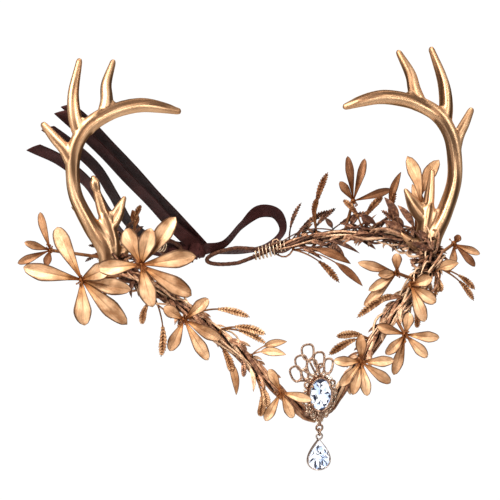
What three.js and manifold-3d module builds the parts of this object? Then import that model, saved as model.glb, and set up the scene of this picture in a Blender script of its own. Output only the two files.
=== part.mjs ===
// Antler crown: a pair of gilt antlers on a V-fronted wreath of gilt vine, with flowers and sprigs,
// a pierced jewel with a swinging drop at the front and a satin ribbon tied at the back.
// Millimetres, +Z up, the front faces -Y.
// The origin is the middle of the head ring, level with the antlers' feet.
import * as THREE from 'three';
import { mergeVertices } from 'three/addons/utils/BufferGeometryUtils.js';
import Module from 'manifold-3d';

const wasm = await Module();
wasm.setup();

// Gap that every piece keeps to the one that carries it
const SEAT_GAP = 0.3;
const MERGE_DISTANCE = 1e-4;

// Rounded limbs: where their sections' first corner points, and how a tip closes over its own radius
const FIRST_CORNER = new THREE.Vector3(0.31, 0.17, 0.94);
const DOME = [{ rise: 0.65, share: 0.76 }, { rise: 1, share: 0.3 }];

// Directions of the side that the crown shows: flowers and sprigs are laid out in this plane
const SHOW_AZIMUTH = THREE.MathUtils.degToRad(-15);
const SHOW_ELEVATION = THREE.MathUtils.degToRad(12);
const ACROSS = new THREE.Vector3(Math.cos(SHOW_AZIMUTH), Math.sin(SHOW_AZIMUTH), 0);
const TOWARD = new THREE.Vector3(
  Math.sin(SHOW_AZIMUTH) * Math.cos(SHOW_ELEVATION),
  -Math.cos(SHOW_AZIMUTH) * Math.cos(SHOW_ELEVATION),
  Math.sin(SHOW_ELEVATION),
);
const RISE = TOWARD.clone().cross(ACROSS);

// Head ring: the vine's centre line, by angle from the front in degrees, negative to the wearer's right
const RING_HALF_WIDTH = 95;
const RING_HALF_DEPTH = 97;
const RING_HEIGHTS = [
  { angle: 0, left: -80, right: -76 },
  { angle: 8, left: -71, right: -62 },
  { angle: 15, left: -60, right: -46 },
  { angle: 23, left: -46, right: -32 },
  { angle: 33, left: -32, right: -20 },
  { angle: 46, left: -18, right: -10 },
  { angle: 60, left: -9, right: -4 },
  { angle: 90, left: -2, right: -3 },
  { angle: 115, left: 0, right: -4 },
  { angle: 140, left: -7, right: -10 },
  { angle: 152, left: -15, right: -14 },
  { angle: 163, left: -23, right: -20 },
  { angle: 180, left: -31, right: -28 },
];
const VINE_RADIUS = 3.4;
const VINE_SIDES = 8;
const VINE_STEP = 8.5;
const VINES = [
  { name: 'vine_left', from: -0.6, to: -142 },
  { name: 'vine_right', from: 0.6, to: 165 },
];

// Taped wire loops at the back ends of the vine, and the wire coils that bind them
const LOOP_WIRE_RADIUS = 1.35;
const LOOP_PINCH = 1.55;
const LOOP_HALF_HEIGHT = 5;
const LOOP_STEPS = 16;
const COIL_TURNS = 3;
const COIL_RADIUS = 5;
const COIL_WIRE = 0.6;
const LOOPS = [
  { name: 'left', start: -143.5, end: -158, coilFrom: -138, coilTo: -146.5 },
  { name: 'right', start: 166.5, end: 191, coilFrom: 161, coilTo: 170 },
];

// Antlers: each limb's centre line from the foot, and its radius
const ANTLER_HALF_SPACING = 98.6;
const ANTLER_LIFT = 2.6;
const ANTLER_STRETCH = 0.025;
const ANTLER_ASIDE = -1;
const ANTLER_SIDES = 7;
const ANTLER_COLUMNS = { out: 0, back: 1, up: 2, radius: 3 };
const ANTLER_LIMBS = [
  { name: 'beam', steps: 14, rows: [[1, 0, -6, 6.7], [3, 1, 3, 6.3], [11, 3, 17, 5.4], [19, 7, 36, 4.9],
    [20, 10, 50, 5], [17.5, 12, 64, 5.2], [10, 14, 75.5, 5.3], [-3, 16, 83, 5.1], [-14, 18, 86, 4.6],
    [-24, 19, 87, 4.6], [-36, 20.5, 85, 3.7], [-45.5, 22, 82, 2.2]] },
  { name: 'top outer tine', steps: 4, rows: [[14, 13, 70, 3.9], [16.5, 17, 81, 4], [16.5, 22, 94, 3.5],
    [11.5, 30, 112.5, 1.9]] },
  { name: 'top inner tine', steps: 4, rows: [[0, 16, 80, 4], [-3, 21, 90, 3.9], [-4, 26, 99, 3.4],
    [-9, 32, 111, 1.9]] },
  { name: 'small outer tine', steps: 3, rows: [[19, 10, 52, 3.8], [23.5, 13, 62, 3.5], [29, 17, 69, 2.9],
    [34.2, 21, 76, 2]] },
  { name: 'brow stem', steps: 2, rows: [[-1, 1, -4, 6], [-1, 3, 8, 5.6], [2, 6, 20, 4.6]] },
  { name: 'brow tine one', steps: 2, rows: [[1, 5, 17, 4], [4, 9, 29, 3.2], [6.5, 12, 41.5, 1.8]] },
  { name: 'brow tine two', steps: 2, rows: [[1, 5, 13, 4.6], [-6, 8, 22, 3.6], [-10.5, 11, 31, 1.5]] },
  { name: 'brow tine three', steps: 2, rows: [[-1, 1, -3, 4.6], [-8, 3, 0, 3.8], [-14.5, 6, 6, 1.4]] },
];

// Flowers: hub place, ring angle of the foot, petal width, and each petal's angle, reach and lean forward
const STEM_RADIUS = 1.1;
const STEM_SIDES = 5;
const STEM_STEPS = 3;
const STEM_ELBOW = { share: 0.6, back: 3 };
const HUB_RADIUS = 2.4;
const PETAL_HALF_THICKNESS = 0.6;
const PETAL_CUP = 0.14;
const LEAF_START = 0.5;
const LEAF_ROOT_SHARE = 0.45;
const PETAL_ARCH = 0.16;
const PETAL_PROFILE = [[0, 0.14], [0.6, 1], [0.87, 0.76], [1, 0.16]];
const FLOWERS = [
  { name: 'left_large', hub: [-121.5, -24, -6.5], foot: -76, width: 12,
    petals: [[168, 34, 2], [116, 34, -4], [-86, 26, 4], [-44, 36, 8], [-11, 29, 10], [24, 21, 14]] },
  { name: 'left_front', hub: [-93, -54, 7], foot: -60, width: 12,
    petals: [[54, 33, 3], [9, 31, 4], [-31, 33, 5], [-74, 24, 6], [184, 24, 2], [113, 22, -2], [74, 21, 8]] },
  { name: 'left_outer', hub: [-134.5, 5.5, 5.5], foot: -92, width: 6,
    petals: [[105, 23, 0], [162, 15, 6], [202, 20, 4], [258, 9, 4]] },
  { name: 'left_lower', hub: [-74, -79, -20], foot: -44, width: 8.5,
    petals: [[41, 17.5, 2], [-28, 23, 3], [-59, 26, 3], [245, 19, 2], [147, 13, 4]] },
  { name: 'jewel_left', hub: [-26, -107.5, -57.5], foot: -14, width: 7,
    petals: [[-14, 17, 5], [-65, 15.5, 3], [241, 18, 2], [118, 14, 1]] },
  { name: 'jewel_right', hub: [20, -109, -43], foot: 15, width: 7.5,
    petals: [[91, 15, 3], [177, 15, 4], [229, 17.5, 2], [255, 18.5, 4], [-80, 19, 3], [-36, 20, 2],
      [3, 18, 3]] },
  { name: 'right_lower', hub: [49.5, -98, -32], foot: 30, width: 7.5,
    petals: [[-5, 19, 3], [162, 16.5, 2], [81, 12.5, 4], [-46, 17.5, 3], [254, 23.5, 2], [224, 15.5, 5]] },
  { name: 'right_inner', hub: [52, -75, -1.5], foot: 47, width: 7,
    petals: [[165, 23, 6], [185, 11, 8], [211, 19, 8], [224, 26, 6], [92, 11, 2]] },
  { name: 'right_middle', hub: [59, -79.5, -8], foot: 43, width: 9,
    petals: [[-35, 17, 3], [-70, 22, 3], [20, 12, 5]] },
  { name: 'right_outer', hub: [99.5, -40.5, 6], foot: 68, width: 5.5,
    petals: [[-22, 16, 4], [-48, 18, 3], [264, 13, 4], [60, 6, 2]] },
  { name: 'back', hub: [73, 72.5, 12.5], foot: 136, width: 6.5,
    petals: [[97, 29, 0], [75, 28, 2], [17, 25, 4], [125, 15, 3]] },
];

// Sprigs: ring angle of the foot, then each blade's angle, reach, lean forward, width and bare stalk's share
const SPRIG_FOOT_RADIUS = 2.1;
const SPRIG_FOOT_LIFT = 0.9;
const BLADE_HALF_THICKNESS = 0.5;
const BLADE_ARCH = 0.08;
const STALK_SHARE = 0.22;
const BLADE_TIP_SHARE = 0.14;
const SPRIGS = [
  { name: 'left_inner_high', foot: -43, blades: [[-6, 27.5, 11, 4.5, 0.35]] },
  { name: 'left_inner_middle', foot: -35, blades: [[-6, 24.5, 10, 5, 0.3], [-18, 26, 8, 4, 0.35]] },
  { name: 'left_inner_low', foot: -25, blades: [[21, 21, 5, 4.5, 0.4], [1, 19, 8, 5, 0.3]] },
  { name: 'left_under_high', foot: -61, blades: [[-112, 17.5, 2, 4.5, 0.3], [-83, 35, 3, 5, 0.5]] },
  { name: 'left_under_middle', foot: -33, blades: [[-65, 16.5, 4, 5, 0.2], [-71, 29.5, 3, 4.5, 0.35]] },
  { name: 'left_under_low', foot: -20, blades: [[-70, 16.5, 4, 5, 0.3], [-85, 20.5, 2, 5, 0.45]] },
  { name: 'right_inner_high', foot: 36, blades: [[205, 27.5, 16, 5, 0.25], [192, 14.5, 10, 4, 0.2]] },
  { name: 'right_inner_low', foot: 20, blades: [[176, 18, 9, 5, 0.2], [202, 24, 11, 5, 0.3]] },
  { name: 'right_under', foot: 38, blades: [[-79, 14, 4, 4, 0.3], [-101, 16, 3, 5, 0.3]] },
  { name: 'right_leaf', foot: 54, blades: [[24, 15, 6, 7, 0.3], [-74, 11, 4, 4.5, 0.3]] },
  { name: 'right_hanging', foot: 62, blades: [[-31, 25, 5, 4, 0.5], [-43, 28.5, 4, 4, 0.5]] },
  { name: 'right_foot', foot: 82, blades: [[-42, 14.5, 4, 4, 0.4], [-87, 25, 3, 4.5, 0.3]] },
  { name: 'right_behind', foot: 98,
    blades: [[96, 49, -3, 10, 0.55], [94, 31.5, -2, 7, 0.4], [72, 49, -9, 10, 0.45]] },
  { name: 'back_right', foot: 114, blades: [[80, 36, 2, 5, 0.45], [83, 23, 5, 4.5, 0.3]] },
  { name: 'back_middle', foot: 128, blades: [[57, 24, 6, 5, 0.35], [123, 21.5, -4, 4.5, 0.3]] },
  { name: 'back_high', foot: 147, blades: [[79, 39, 0, 5, 0.45], [89, 21.5, 1, 4.5, 0.4]] },
  { name: 'back_hanging', foot: 157,
    blades: [[-28, 49.5, 20, 5, 0.6], [-36, 36, 14, 5, 0.5], [-14, 37.5, 14, 6, 0.4]] },
  { name: 'left_back', foot: -112, blades: [[142, 32.5, -4, 4.5, 0.55], [109, 17.5, 2, 5, 0.3]] },
  { name: 'left_rear', foot: -130, blades: [[77, 19, 1, 4, 0.4], [95, 15.5, 0, 5.5, 0.35]] },
];

// Satin ribbon: each strip's centre line and its turn about it, 0 where its face looks forward
const RIBBON_WIDTH = 10;
const RIBBON_HALF_THICKNESS = 0.5;
const KNOT_PLACE = [-25, 96, -19];
const KNOT_SIZE = [7, 5, 6.5];
const RIBBONS = [
  { name: 'ribbon_strap', steps: 3, rows: [[-46, 86, -19, 10], [-37, 91, -20, 0], [-26, 96, -20, 0]] },
  { name: 'ribbon_bow', steps: 16, rows: [[-22, 97, -19, 40], [-6, 101, -17, 64], [7, 105, -6, 68],
    [20, 108, 2, 38], [33, 110, -1, 46], [37, 109, -12, 66], [27, 107, -21, 70], [10, 105, -24, 75],
    [-14, 102, -22, 70]] },
  { name: 'ribbon_tail_one', steps: 8, rows: [[-24.5, 96, -17, -20], [-45.5, 80, 3.5, -45],
    [-62, 64, 21.5, -48], [-79.5, 48, 39.5, -50], [-95.5, 36, 57, -50], [-111.5, 28, 73, -50],
    [-123, 27.5, 84, -50]] },
  { name: 'ribbon_tail_two', steps: 8, rows: [[-21.5, 99, -17, -20], [-40.5, 83, 5.5, -45],
    [-57.5, 67, 23.5, -48], [-74.5, 51, 42.5, -50], [-91, 39, 60, -50], [-106, 31, 76, -50],
    [-118.5, 29, 87.5, -50]] },
  { name: 'ribbon_tail_three', steps: 9, rows: [[-25.5, 98, -20.5, -20], [-39.5, 101, -16.5, -40],
    [-56.5, 91, -8.5, -45], [-73.5, 73, 7, -50], [-87, 52, 28, -50], [-100, 39, 47.5, -50],
    [-116.5, 31, 63.5, -50], [-130.5, 29, 74.5, -50]] },
  { name: 'ribbon_tail_four', steps: 9, rows: [[-26, 97, -22.5, -20], [-41.5, 99, -20, -40],
    [-58.5, 89, -13.5, -45], [-78.5, 71, -0.5, -50], [-93.5, 48, 21, -50], [-106.5, 33, 40, -50],
    [-124, 25, 55.5, -50], [-141, 19, 65, -50]] },
];

// Jewel: a pierced setting with an oval stone, and a pear drop on a ring
const JEWEL_PLACE = new THREE.Vector3(-2.7, -104, -61);
const PLATE_THICKNESS = 1.2;
const STONE_HALF_WIDTH = 6;
const STONE_HALF_HEIGHT = 9;
const STONE_GIRDLE_AT = 2.4;
const STONE_TABLE_AT = 4.4;
const STONE_CULET_AT = -0.4;
const STONE_SIDES = 12;
const GIRDLE_HEIGHT = 0.5;
const SHOULDER_LIFT = 0.3;
const CULET_SHARE = 0.12;
const SHOULDER_SHARE = 0.82;
const TABLE_SHARE = 0.56;
const BEZEL_WALL = 0.9;
const BEZEL_HEIGHT = 3;
const LEDGE_SHARE = 0.7;
const BODY_HALF_WIDTH = 10.5;
const BODY_HALF_HEIGHT = 12.5;
const CREST_LEAN = 16;
const CREST_WIRE = 1.1;
const CREST_SEGMENTS = 4;
const PIERCING_SEGMENTS = 4;
const PEG_SEGMENTS = 3;
const OVAL_SEGMENTS = 6;
const CREST_CELLS = [
  { turn: 0, distance: 25.4, halfLength: 4.8, halfWidth: 4 },
  { turn: 14, distance: 21.5, halfLength: 4.6, halfWidth: 3.9 },
  { turn: -14.6, distance: 19.6, halfLength: 4.8, halfWidth: 3.6 },
  { turn: 32, distance: 18.6, halfLength: 4.8, halfWidth: 3.5 },
  { turn: -33.4, distance: 16.4, halfLength: 4.6, halfWidth: 3 },
  { turn: 0, distance: 16.2, halfLength: 4.8, halfWidth: 3.4 },
];
const SIDE_PIERCINGS = [
  { x: 8.4, z: 3, halfWidth: 0.7, halfHeight: 2 },
  { x: 7.8, z: -5.6, halfWidth: 0.7, halfHeight: 1.6 },
];
const TONGUE_HALF_WIDTH = 4.5;
const TONGUE_TOP = -9;
const TONGUE_TIP = -18.8;
const TONGUE_TIP_HALF_WIDTH = 0.8;
const PEG_RADIUS = 2;
const PEG_LENGTH = 9;
const PEG_PLACES = [[-6.6, -11], [6.4, -10]];
const EYE_DROP = 19.8;
const EYE_RADIUS = 1.8;
const EYE_WIRE = 0.6;
const RING_RADIUS = 1.9;
const RING_WIRE = 0.45;
const BAIL_RADIUS = 1.7;
const BAIL_WIRE = 0.5;
const BAIL_OVERLAP = 0.1;
const LINK_PLAY = 0.2;
const WIRE_SIDES = 6;
const LINK_SIDES = 12;
const PEAR_HALF_WIDTH = 6.1;
const PEAR_HALF_HEIGHT = 8.5;
const PEAR_WALL = 0.7;
const PEAR_SIDES = 14;
const PEAR_FULLNESS = 1.1;
const PEAR_WIDEST = 0.752;
const DROP_HALF_DEPTH = 2.2;
const DROP_LEDGE = 0.8;
const DROP_LEDGE_WIDTH = 1.6;
const DROP_RIM = 0.6;
const DROP_GIRDLE_AT = 0.3;

// Finishes
const GILT = new THREE.MeshStandardMaterial({ color: 0xb98a4c, metalness: 0.75, roughness: 0.38 });
const GILT_CLOTH = new THREE.MeshStandardMaterial({ color: 0xc39a62, metalness: 0.35, roughness: 0.5 });
const BRONZE_VINE = new THREE.MeshStandardMaterial({ color: 0x7d5230, metalness: 0.4, roughness: 0.5 });
const BROWN_TAPE = new THREE.MeshStandardMaterial({ color: 0x3d2722, metalness: 0, roughness: 0.7 });
const SATIN = new THREE.MeshStandardMaterial({ color: 0x35231f, metalness: 0, roughness: 0.45 });
const CRYSTAL = new THREE.MeshStandardMaterial({ color: 0xdfe8f4, metalness: 0, roughness: 0.05 });

// A skin over sections that have the same number of points, closed by flat ends or onto itself
function loft(sections, ringed = false) {
  const count = sections[0].length;
  const spans = ringed ? sections.length : sections.length - 1;
  const index = [];
  for (let span = 0; span < spans; span += 1) {
    const near = span * count;
    const far = ((span + 1) % sections.length) * count;
    for (let i = 0; i < count; i += 1) {
      const j = (i + 1) % count;
      index.push(near + i, near + j, far + j, near + i, far + j, far + i);
    }
  }
  const last = (sections.length - 1) * count;
  for (let i = 1; i + 1 < count && !ringed; i += 1) {
    index.push(0, i + 1, i, last, last + i, last + i + 1);
  }
  const geometry = new THREE.BufferGeometry();
  const places = sections.flat().flatMap((point) => point.toArray());
  geometry.setAttribute('position', new THREE.Float32BufferAttribute(places, 3));
  geometry.setIndex(index);
  return geometry;
}

// A closed geometry as a solid that can be joined and cut
function solid(geometry) {
  geometry.deleteAttribute('normal');
  geometry.deleteAttribute('uv');
  const merged = mergeVertices(geometry, MERGE_DISTANCE);
  return new wasm.Manifold(new wasm.Mesh({
    numProp: 3,
    vertProperties: new Float32Array(merged.attributes.position.array),
    triVerts: new Uint32Array(merged.index.array),
  }));
}

function join(parts) {
  return parts.reduce((whole, part) => whole.add(part));
}

// Cuts a piece clear of its neighbours and keeps its main body
function seat(piece, neighbours) {
  const cut = neighbours.reduce((left, other) => left.subtract(other), piece);
  return cut.decompose().reduce((main, body) => (body.volume() > main.volume() ? body : main));
}

function vector(row) {
  return new THREE.Vector3(row[0], row[1], row[2]);
}

// A point that lies off another by steps across, up and toward the side that the crown shows
function offset(from, across, rise, toward) {
  return from.clone()
    .addScaledVector(ACROSS, across)
    .addScaledVector(RISE, rise)
    .addScaledVector(TOWARD, toward);
}

function lerpColumn(rows, column, place) {
  const low = Math.min(Math.floor(place), rows.length - 2);
  return THREE.MathUtils.lerp(rows[low][column], rows[low + 1][column], place - low);
}

// The head ring's centre line at an angle from the front
function ringPoint(angle) {
  const side = angle < 0 ? 'left' : 'right';
  const turn = Math.min(Math.abs(angle), 180);
  const high = Math.max(1, RING_HEIGHTS.findIndex((row) => row.angle >= turn));
  const before = RING_HEIGHTS[high - 1];
  const after = RING_HEIGHTS[high];
  const share = (turn - before.angle) / (after.angle - before.angle);
  const radians = THREE.MathUtils.degToRad(angle);
  return new THREE.Vector3(
    RING_HALF_WIDTH * Math.sin(radians),
    -RING_HALF_DEPTH * Math.cos(radians),
    THREE.MathUtils.lerp(before[side], after[side], share),
  );
}

// Round sections square to a line of points, carried along it without twist
function roundSections(points, radii, sides) {
  let normal = FIRST_CORNER;
  return points.map((point, i) => {
    const before = points[Math.max(i - 1, 0)];
    const after = points[Math.min(i + 1, points.length - 1)];
    const tangent = after.clone().sub(before).normalize();
    normal = normal.clone().addScaledVector(tangent, -normal.dot(tangent)).normalize();
    const side = tangent.clone().cross(normal);
    return Array.from({ length: sides }, (_, k) => {
      const turn = (2 * Math.PI * k) / sides;
      return point.clone()
        .addScaledVector(normal, radii[i] * Math.cos(turn))
        .addScaledVector(side, radii[i] * Math.sin(turn));
    });
  });
}

// A round limb along a smooth curve through points, with a rounded tip where wanted
function limb(points, radii, sides, steps, domed, grow) {
  const curve = new THREE.CatmullRomCurve3(points, false, 'centripetal');
  const rows = radii.map((radius) => [radius]);
  const path = [];
  const sizes = [];
  for (let i = 0; i <= steps; i += 1) {
    path.push(curve.getPoint(i / steps));
    sizes.push(lerpColumn(rows, 0, (i / steps) * (rows.length - 1)) + grow);
  }
  if (domed) {
    const ahead = curve.getTangent(1);
    const tip = path[path.length - 1];
    const radius = sizes[sizes.length - 1];
    for (const { rise, share } of DOME) {
      path.push(tip.clone().addScaledVector(ahead, radius * rise));
      sizes.push(radius * share);
    }
  }
  return solid(loft(roundSections(path, sizes, sides)));
}

function vine({ from, to }, grow) {
  const count = Math.round(Math.abs(to - from) / VINE_STEP);
  const points = Array.from({ length: count + 1 }, (_, i) => ringPoint(from + ((to - from) * i) / count));
  const radii = points.map(() => VINE_RADIUS);
  return limb(points, radii, VINE_SIDES, count, false, grow);
}

// A wire loop, pinched where it enters its binding, in the upright plane along the ring
function endLoop({ start, end }, grow) {
  const near = ringPoint(start);
  const along = ringPoint(end > 180 ? end - 360 : end).sub(near);
  const length = along.length();
  along.normalize();
  const high = new THREE.Vector3(0, 0, 1).addScaledVector(along, -along.z).normalize();
  const flat = along.clone().cross(high);
  const sections = Array.from({ length: LOOP_STEPS }, (_, i) => {
    const turn = (2 * Math.PI * i) / LOOP_STEPS;
    const share = (1 - Math.cos(turn)) / 2;
    const half = THREE.MathUtils.lerp(LOOP_PINCH, LOOP_HALF_HEIGHT, Math.min(1, share * 2));
    const centre = near.clone()
      .addScaledVector(along, length * share)
      .addScaledVector(high, half * Math.sin(turn));
    const away = along.clone().multiplyScalar(-Math.cos(turn)).addScaledVector(high, Math.sin(turn));
    return Array.from({ length: WIRE_SIDES }, (_, k) => {
      const around = (2 * Math.PI * k) / WIRE_SIDES;
      return centre.clone()
        .addScaledVector(away, (LOOP_WIRE_RADIUS + grow) * Math.cos(around))
        .addScaledVector(flat, -(LOOP_WIRE_RADIUS + grow) * Math.sin(around));
    });
  });
  return outward(loft(sections, true));
}

// A solid whose faces point out, whichever way its sections ran
function outward(geometry) {
  const body = solid(geometry);
  if (body.volume() > 0) {
    return body;
  }
  const order = geometry.index.array;
  for (let i = 0; i < order.length; i += 3) {
    [order[i], order[i + 1]] = [order[i + 1], order[i]];
  }
  return solid(geometry);
}

// Turns of wire wound close about the end of the vine and its loop
function coil({ coilFrom, coilTo }, grow) {
  const near = ringPoint(coilFrom);
  const along = ringPoint(coilTo).sub(near);
  const length = along.length();
  const profile = [new THREE.Vector2(0, -grow)];
  for (let turn = 0; turn < COIL_TURNS; turn += 1) {
    const pitch = length / COIL_TURNS;
    profile.push(new THREE.Vector2(COIL_RADIUS - COIL_WIRE + grow, turn === 0 ? -grow : turn * pitch));
    profile.push(new THREE.Vector2(COIL_RADIUS + grow, (turn + 0.5) * pitch));
  }
  profile.push(new THREE.Vector2(COIL_RADIUS - COIL_WIRE + grow, length + grow));
  profile.push(new THREE.Vector2(0, length + grow));
  const geometry = new THREE.LatheGeometry(profile, VINE_SIDES);
  const upright = new THREE.Vector3(0, 1, 0);
  geometry.applyQuaternion(new THREE.Quaternion().setFromUnitVectors(upright, along.normalize()));
  geometry.translate(near.x, near.y, near.z);
  return outward(geometry);
}

function antler(side, grow) {
  const stretch = 1 + side * ANTLER_STRETCH;
  const limbs = ANTLER_LIMBS.map(({ rows, steps }) => {
    const points = rows.map((row) => new THREE.Vector3(
      side * (ANTLER_HALF_SPACING + row[ANTLER_COLUMNS.out]) + ANTLER_ASIDE,
      row[ANTLER_COLUMNS.back],
      row[ANTLER_COLUMNS.up] * stretch - side * ANTLER_LIFT,
    ));
    return limb(points, rows.map((row) => row[ANTLER_COLUMNS.radius]), ANTLER_SIDES, steps, true, grow);
  });
  return join(limbs);
}

// A leaf of lens section on a curved midrib, from its root to its tip
function leaf(root, tip, arch, halfWidth, halfThickness, profile, grow) {
  const bend = root.clone().lerp(tip, 0.5).addScaledVector(TOWARD, arch * root.distanceTo(tip));
  const midrib = new THREE.QuadraticBezierCurve3(root, bend, tip);
  const sections = profile.map(([place, share]) => {
    const point = midrib.getPoint(place);
    const tangent = midrib.getTangent(place);
    const side = TOWARD.clone().cross(tangent).normalize();
    const face = tangent.clone().cross(side);
    const wide = halfWidth * share + grow;
    const cup = halfWidth * share * PETAL_CUP;
    const thick = halfThickness * Math.min(1, LEAF_ROOT_SHARE + share) + grow;
    return [
      point.clone().addScaledVector(side, wide).addScaledVector(face, cup),
      point.clone().addScaledVector(face, thick),
      point.clone().addScaledVector(side, -wide).addScaledVector(face, cup),
      point.clone().addScaledVector(face, -thick),
    ];
  });
  return solid(loft(sections));
}

// A leaf that starts inside the rim of its button
function leafFrom(centre, buttonRadius, tip, arch, halfWidth, halfThickness, profile, grow) {
  const root = centre.clone().addScaledVector(tip.clone().sub(centre).normalize(), buttonRadius * LEAF_START);
  return leaf(root, tip, arch, halfWidth, halfThickness, profile, grow);
}

// A tip seen from its root at an angle in the plane that the crown shows
function tipAt(root, angle, reach, lean) {
  const radians = THREE.MathUtils.degToRad(angle);
  return offset(root, reach * Math.cos(radians), reach * Math.sin(radians), lean);
}

function flower({ hub, foot, width, petals }, grow) {
  const centre = vector(hub);
  const root = ringPoint(foot);
  const elbow = root.clone().lerp(centre, STEM_ELBOW.share).addScaledVector(TOWARD, -STEM_ELBOW.back);
  const points = [root, elbow, centre];
  const stem = limb(points, points.map(() => STEM_RADIUS), STEM_SIDES, STEM_STEPS, false, grow);
  const button = new THREE.IcosahedronGeometry(HUB_RADIUS + grow, 0);
  button.translate(centre.x, centre.y, centre.z);
  const leaves = petals.map(([angle, reach, lean]) => {
    const tip = tipAt(centre, angle, reach, lean);
    const half = width / 2;
    return leafFrom(centre, HUB_RADIUS, tip, PETAL_ARCH, half, PETAL_HALF_THICKNESS, PETAL_PROFILE, grow);
  });
  return join([stem, solid(button), ...leaves]);
}

function bladeProfile(stalk) {
  const middle = (stalk + 1) / 2;
  return [[0, STALK_SHARE], [stalk, STALK_SHARE], [middle, 1], [1, BLADE_TIP_SHARE]];
}

// The side of the vine that a sprig's blades leave from
function sprigRoot({ foot, blades }) {
  const axis = ringPoint(foot);
  const tangent = ringPoint(foot + 1).sub(ringPoint(foot - 1)).normalize();
  const away = new THREE.Vector3();
  for (const [angle, reach, lean] of blades) {
    away.add(tipAt(axis, angle, reach, lean).sub(axis));
  }
  away.addScaledVector(tangent, -away.dot(tangent)).normalize();
  return axis.addScaledVector(away, VINE_RADIUS + SPRIG_FOOT_LIFT);
}

function sprig({ foot, blades }, grow) {
  const root = sprigRoot({ foot, blades });
  const button = new THREE.OctahedronGeometry(SPRIG_FOOT_RADIUS + grow, 0);
  button.translate(root.x, root.y, root.z);
  const leaves = blades.map(([angle, reach, lean, width, stalk]) => {
    const tip = tipAt(root, angle, reach, lean);
    const profile = bladeProfile(stalk);
    return leafFrom(root, SPRIG_FOOT_RADIUS, tip, BLADE_ARCH, width / 2, BLADE_HALF_THICKNESS, profile, grow);
  });
  return join([solid(button), ...leaves]);
}

// A flat strip along a smooth curve, turned about it row by row
function ribbon({ rows, steps }, grow) {
  const curve = new THREE.CatmullRomCurve3(rows.map(vector), false, 'centripetal');
  const sections = Array.from({ length: steps + 1 }, (_, i) => {
    const place = i / steps;
    const point = curve.getPoint(place);
    const tangent = curve.getTangent(place);
    const turn = THREE.MathUtils.degToRad(lerpColumn(rows, 3, place * (rows.length - 1)));
    const level = TOWARD.clone().cross(tangent).normalize();
    const side = level.applyAxisAngle(tangent, turn);
    const face = tangent.clone().cross(side);
    const wide = RIBBON_WIDTH / 2 + grow;
    const thick = RIBBON_HALF_THICKNESS + grow;
    return [[1, 1], [-1, 1], [-1, -1], [1, -1]].map(([across, up]) => point.clone()
      .addScaledVector(side, across * wide)
      .addScaledVector(face, up * thick));
  });
  return solid(loft(sections));
}

function knot(grow) {
  const geometry = new THREE.IcosahedronGeometry(1, 1);
  geometry.scale(KNOT_SIZE[0] + grow, KNOT_SIZE[1] + grow, KNOT_SIZE[2] + grow);
  geometry.translate(...KNOT_PLACE);
  return solid(geometry);
}

// Flat work is drawn upright, in x and z, and thickened forward from its back
function upright(shape, back, thickness, segments) {
  const options = { depth: thickness, bevelEnabled: false, curveSegments: segments };
  const geometry = new THREE.ExtrudeGeometry(shape, options);
  geometry.rotateX(Math.PI / 2);
  geometry.translate(JEWEL_PLACE.x, JEWEL_PLACE.y - back, JEWEL_PLACE.z);
  return solid(geometry);
}

function ellipse(x, z, halfWidth, halfHeight, turn = 0) {
  const shape = new THREE.Shape();
  shape.absellipse(x, z, halfWidth, halfHeight, 0, 2 * Math.PI, false, turn);
  return shape;
}

function wireRing(radius, wire, place, grow) {
  const geometry = new THREE.TorusGeometry(radius, wire + grow, WIRE_SIDES, LINK_SIDES);
  geometry.rotateX(Math.PI / 2);
  geometry.translate(place.x, place.y, place.z);
  return geometry;
}

function crestCell({ turn, distance, halfLength, halfWidth }, grow) {
  const lean = THREE.MathUtils.degToRad(turn + CREST_LEAN);
  const x = -distance * Math.sin(lean);
  const z = distance * Math.cos(lean);
  const shape = ellipse(x, z, halfWidth + grow, halfLength + grow, lean);
  shape.holes.push(ellipse(x, z, halfWidth - CREST_WIRE - grow, halfLength - CREST_WIRE - grow, lean));
  return upright(shape, -grow, PLATE_THICKNESS + 2 * grow, CREST_SEGMENTS);
}

// An oval block upright about a place on the jewel's face
function ovalBlock(x, z, halfWidth, halfHeight, back, thickness, segments) {
  return upright(ellipse(x, z, halfWidth, halfHeight), back, thickness, segments);
}

function jewelPlate(grow) {
  const back = -grow;
  const thickness = PLATE_THICKNESS + 2 * grow;
  const plateWidth = BODY_HALF_WIDTH + grow;
  const plateHeight = BODY_HALF_HEIGHT + grow;
  const plate = ovalBlock(0, 0, plateWidth, plateHeight, back, thickness, OVAL_SEGMENTS);
  const through = thickness + 2;
  const windowWidth = STONE_HALF_WIDTH * LEDGE_SHARE;
  const windowHeight = STONE_HALF_HEIGHT * LEDGE_SHARE;
  const window = ovalBlock(0, 0, windowWidth, windowHeight, back - 1, through, OVAL_SEGMENTS);
  const piercings = SIDE_PIERCINGS.flatMap(({ x, z, halfWidth, halfHeight }) => [
    ovalBlock(-x, z, halfWidth, halfHeight, back - 1, through, PIERCING_SEGMENTS),
    ovalBlock(x, z, halfWidth, halfHeight, back - 1, through, PIERCING_SEGMENTS),
  ]);
  return [window, ...piercings].reduce((left, hole) => left.subtract(hole), plate);
}

function jewelBezel(grow) {
  const halfWidth = STONE_HALF_WIDTH + SEAT_GAP;
  const halfHeight = STONE_HALF_HEIGHT + SEAT_GAP;
  const back = PLATE_THICKNESS / 2;
  const height = BEZEL_HEIGHT + grow;
  const wall = BEZEL_WALL + grow;
  const outer = ovalBlock(0, 0, halfWidth + wall, halfHeight + wall, back, height, OVAL_SEGMENTS);
  return outer.subtract(ovalBlock(0, 0, halfWidth, halfHeight, back - 1, height + 2, OVAL_SEGMENTS));
}

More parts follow.
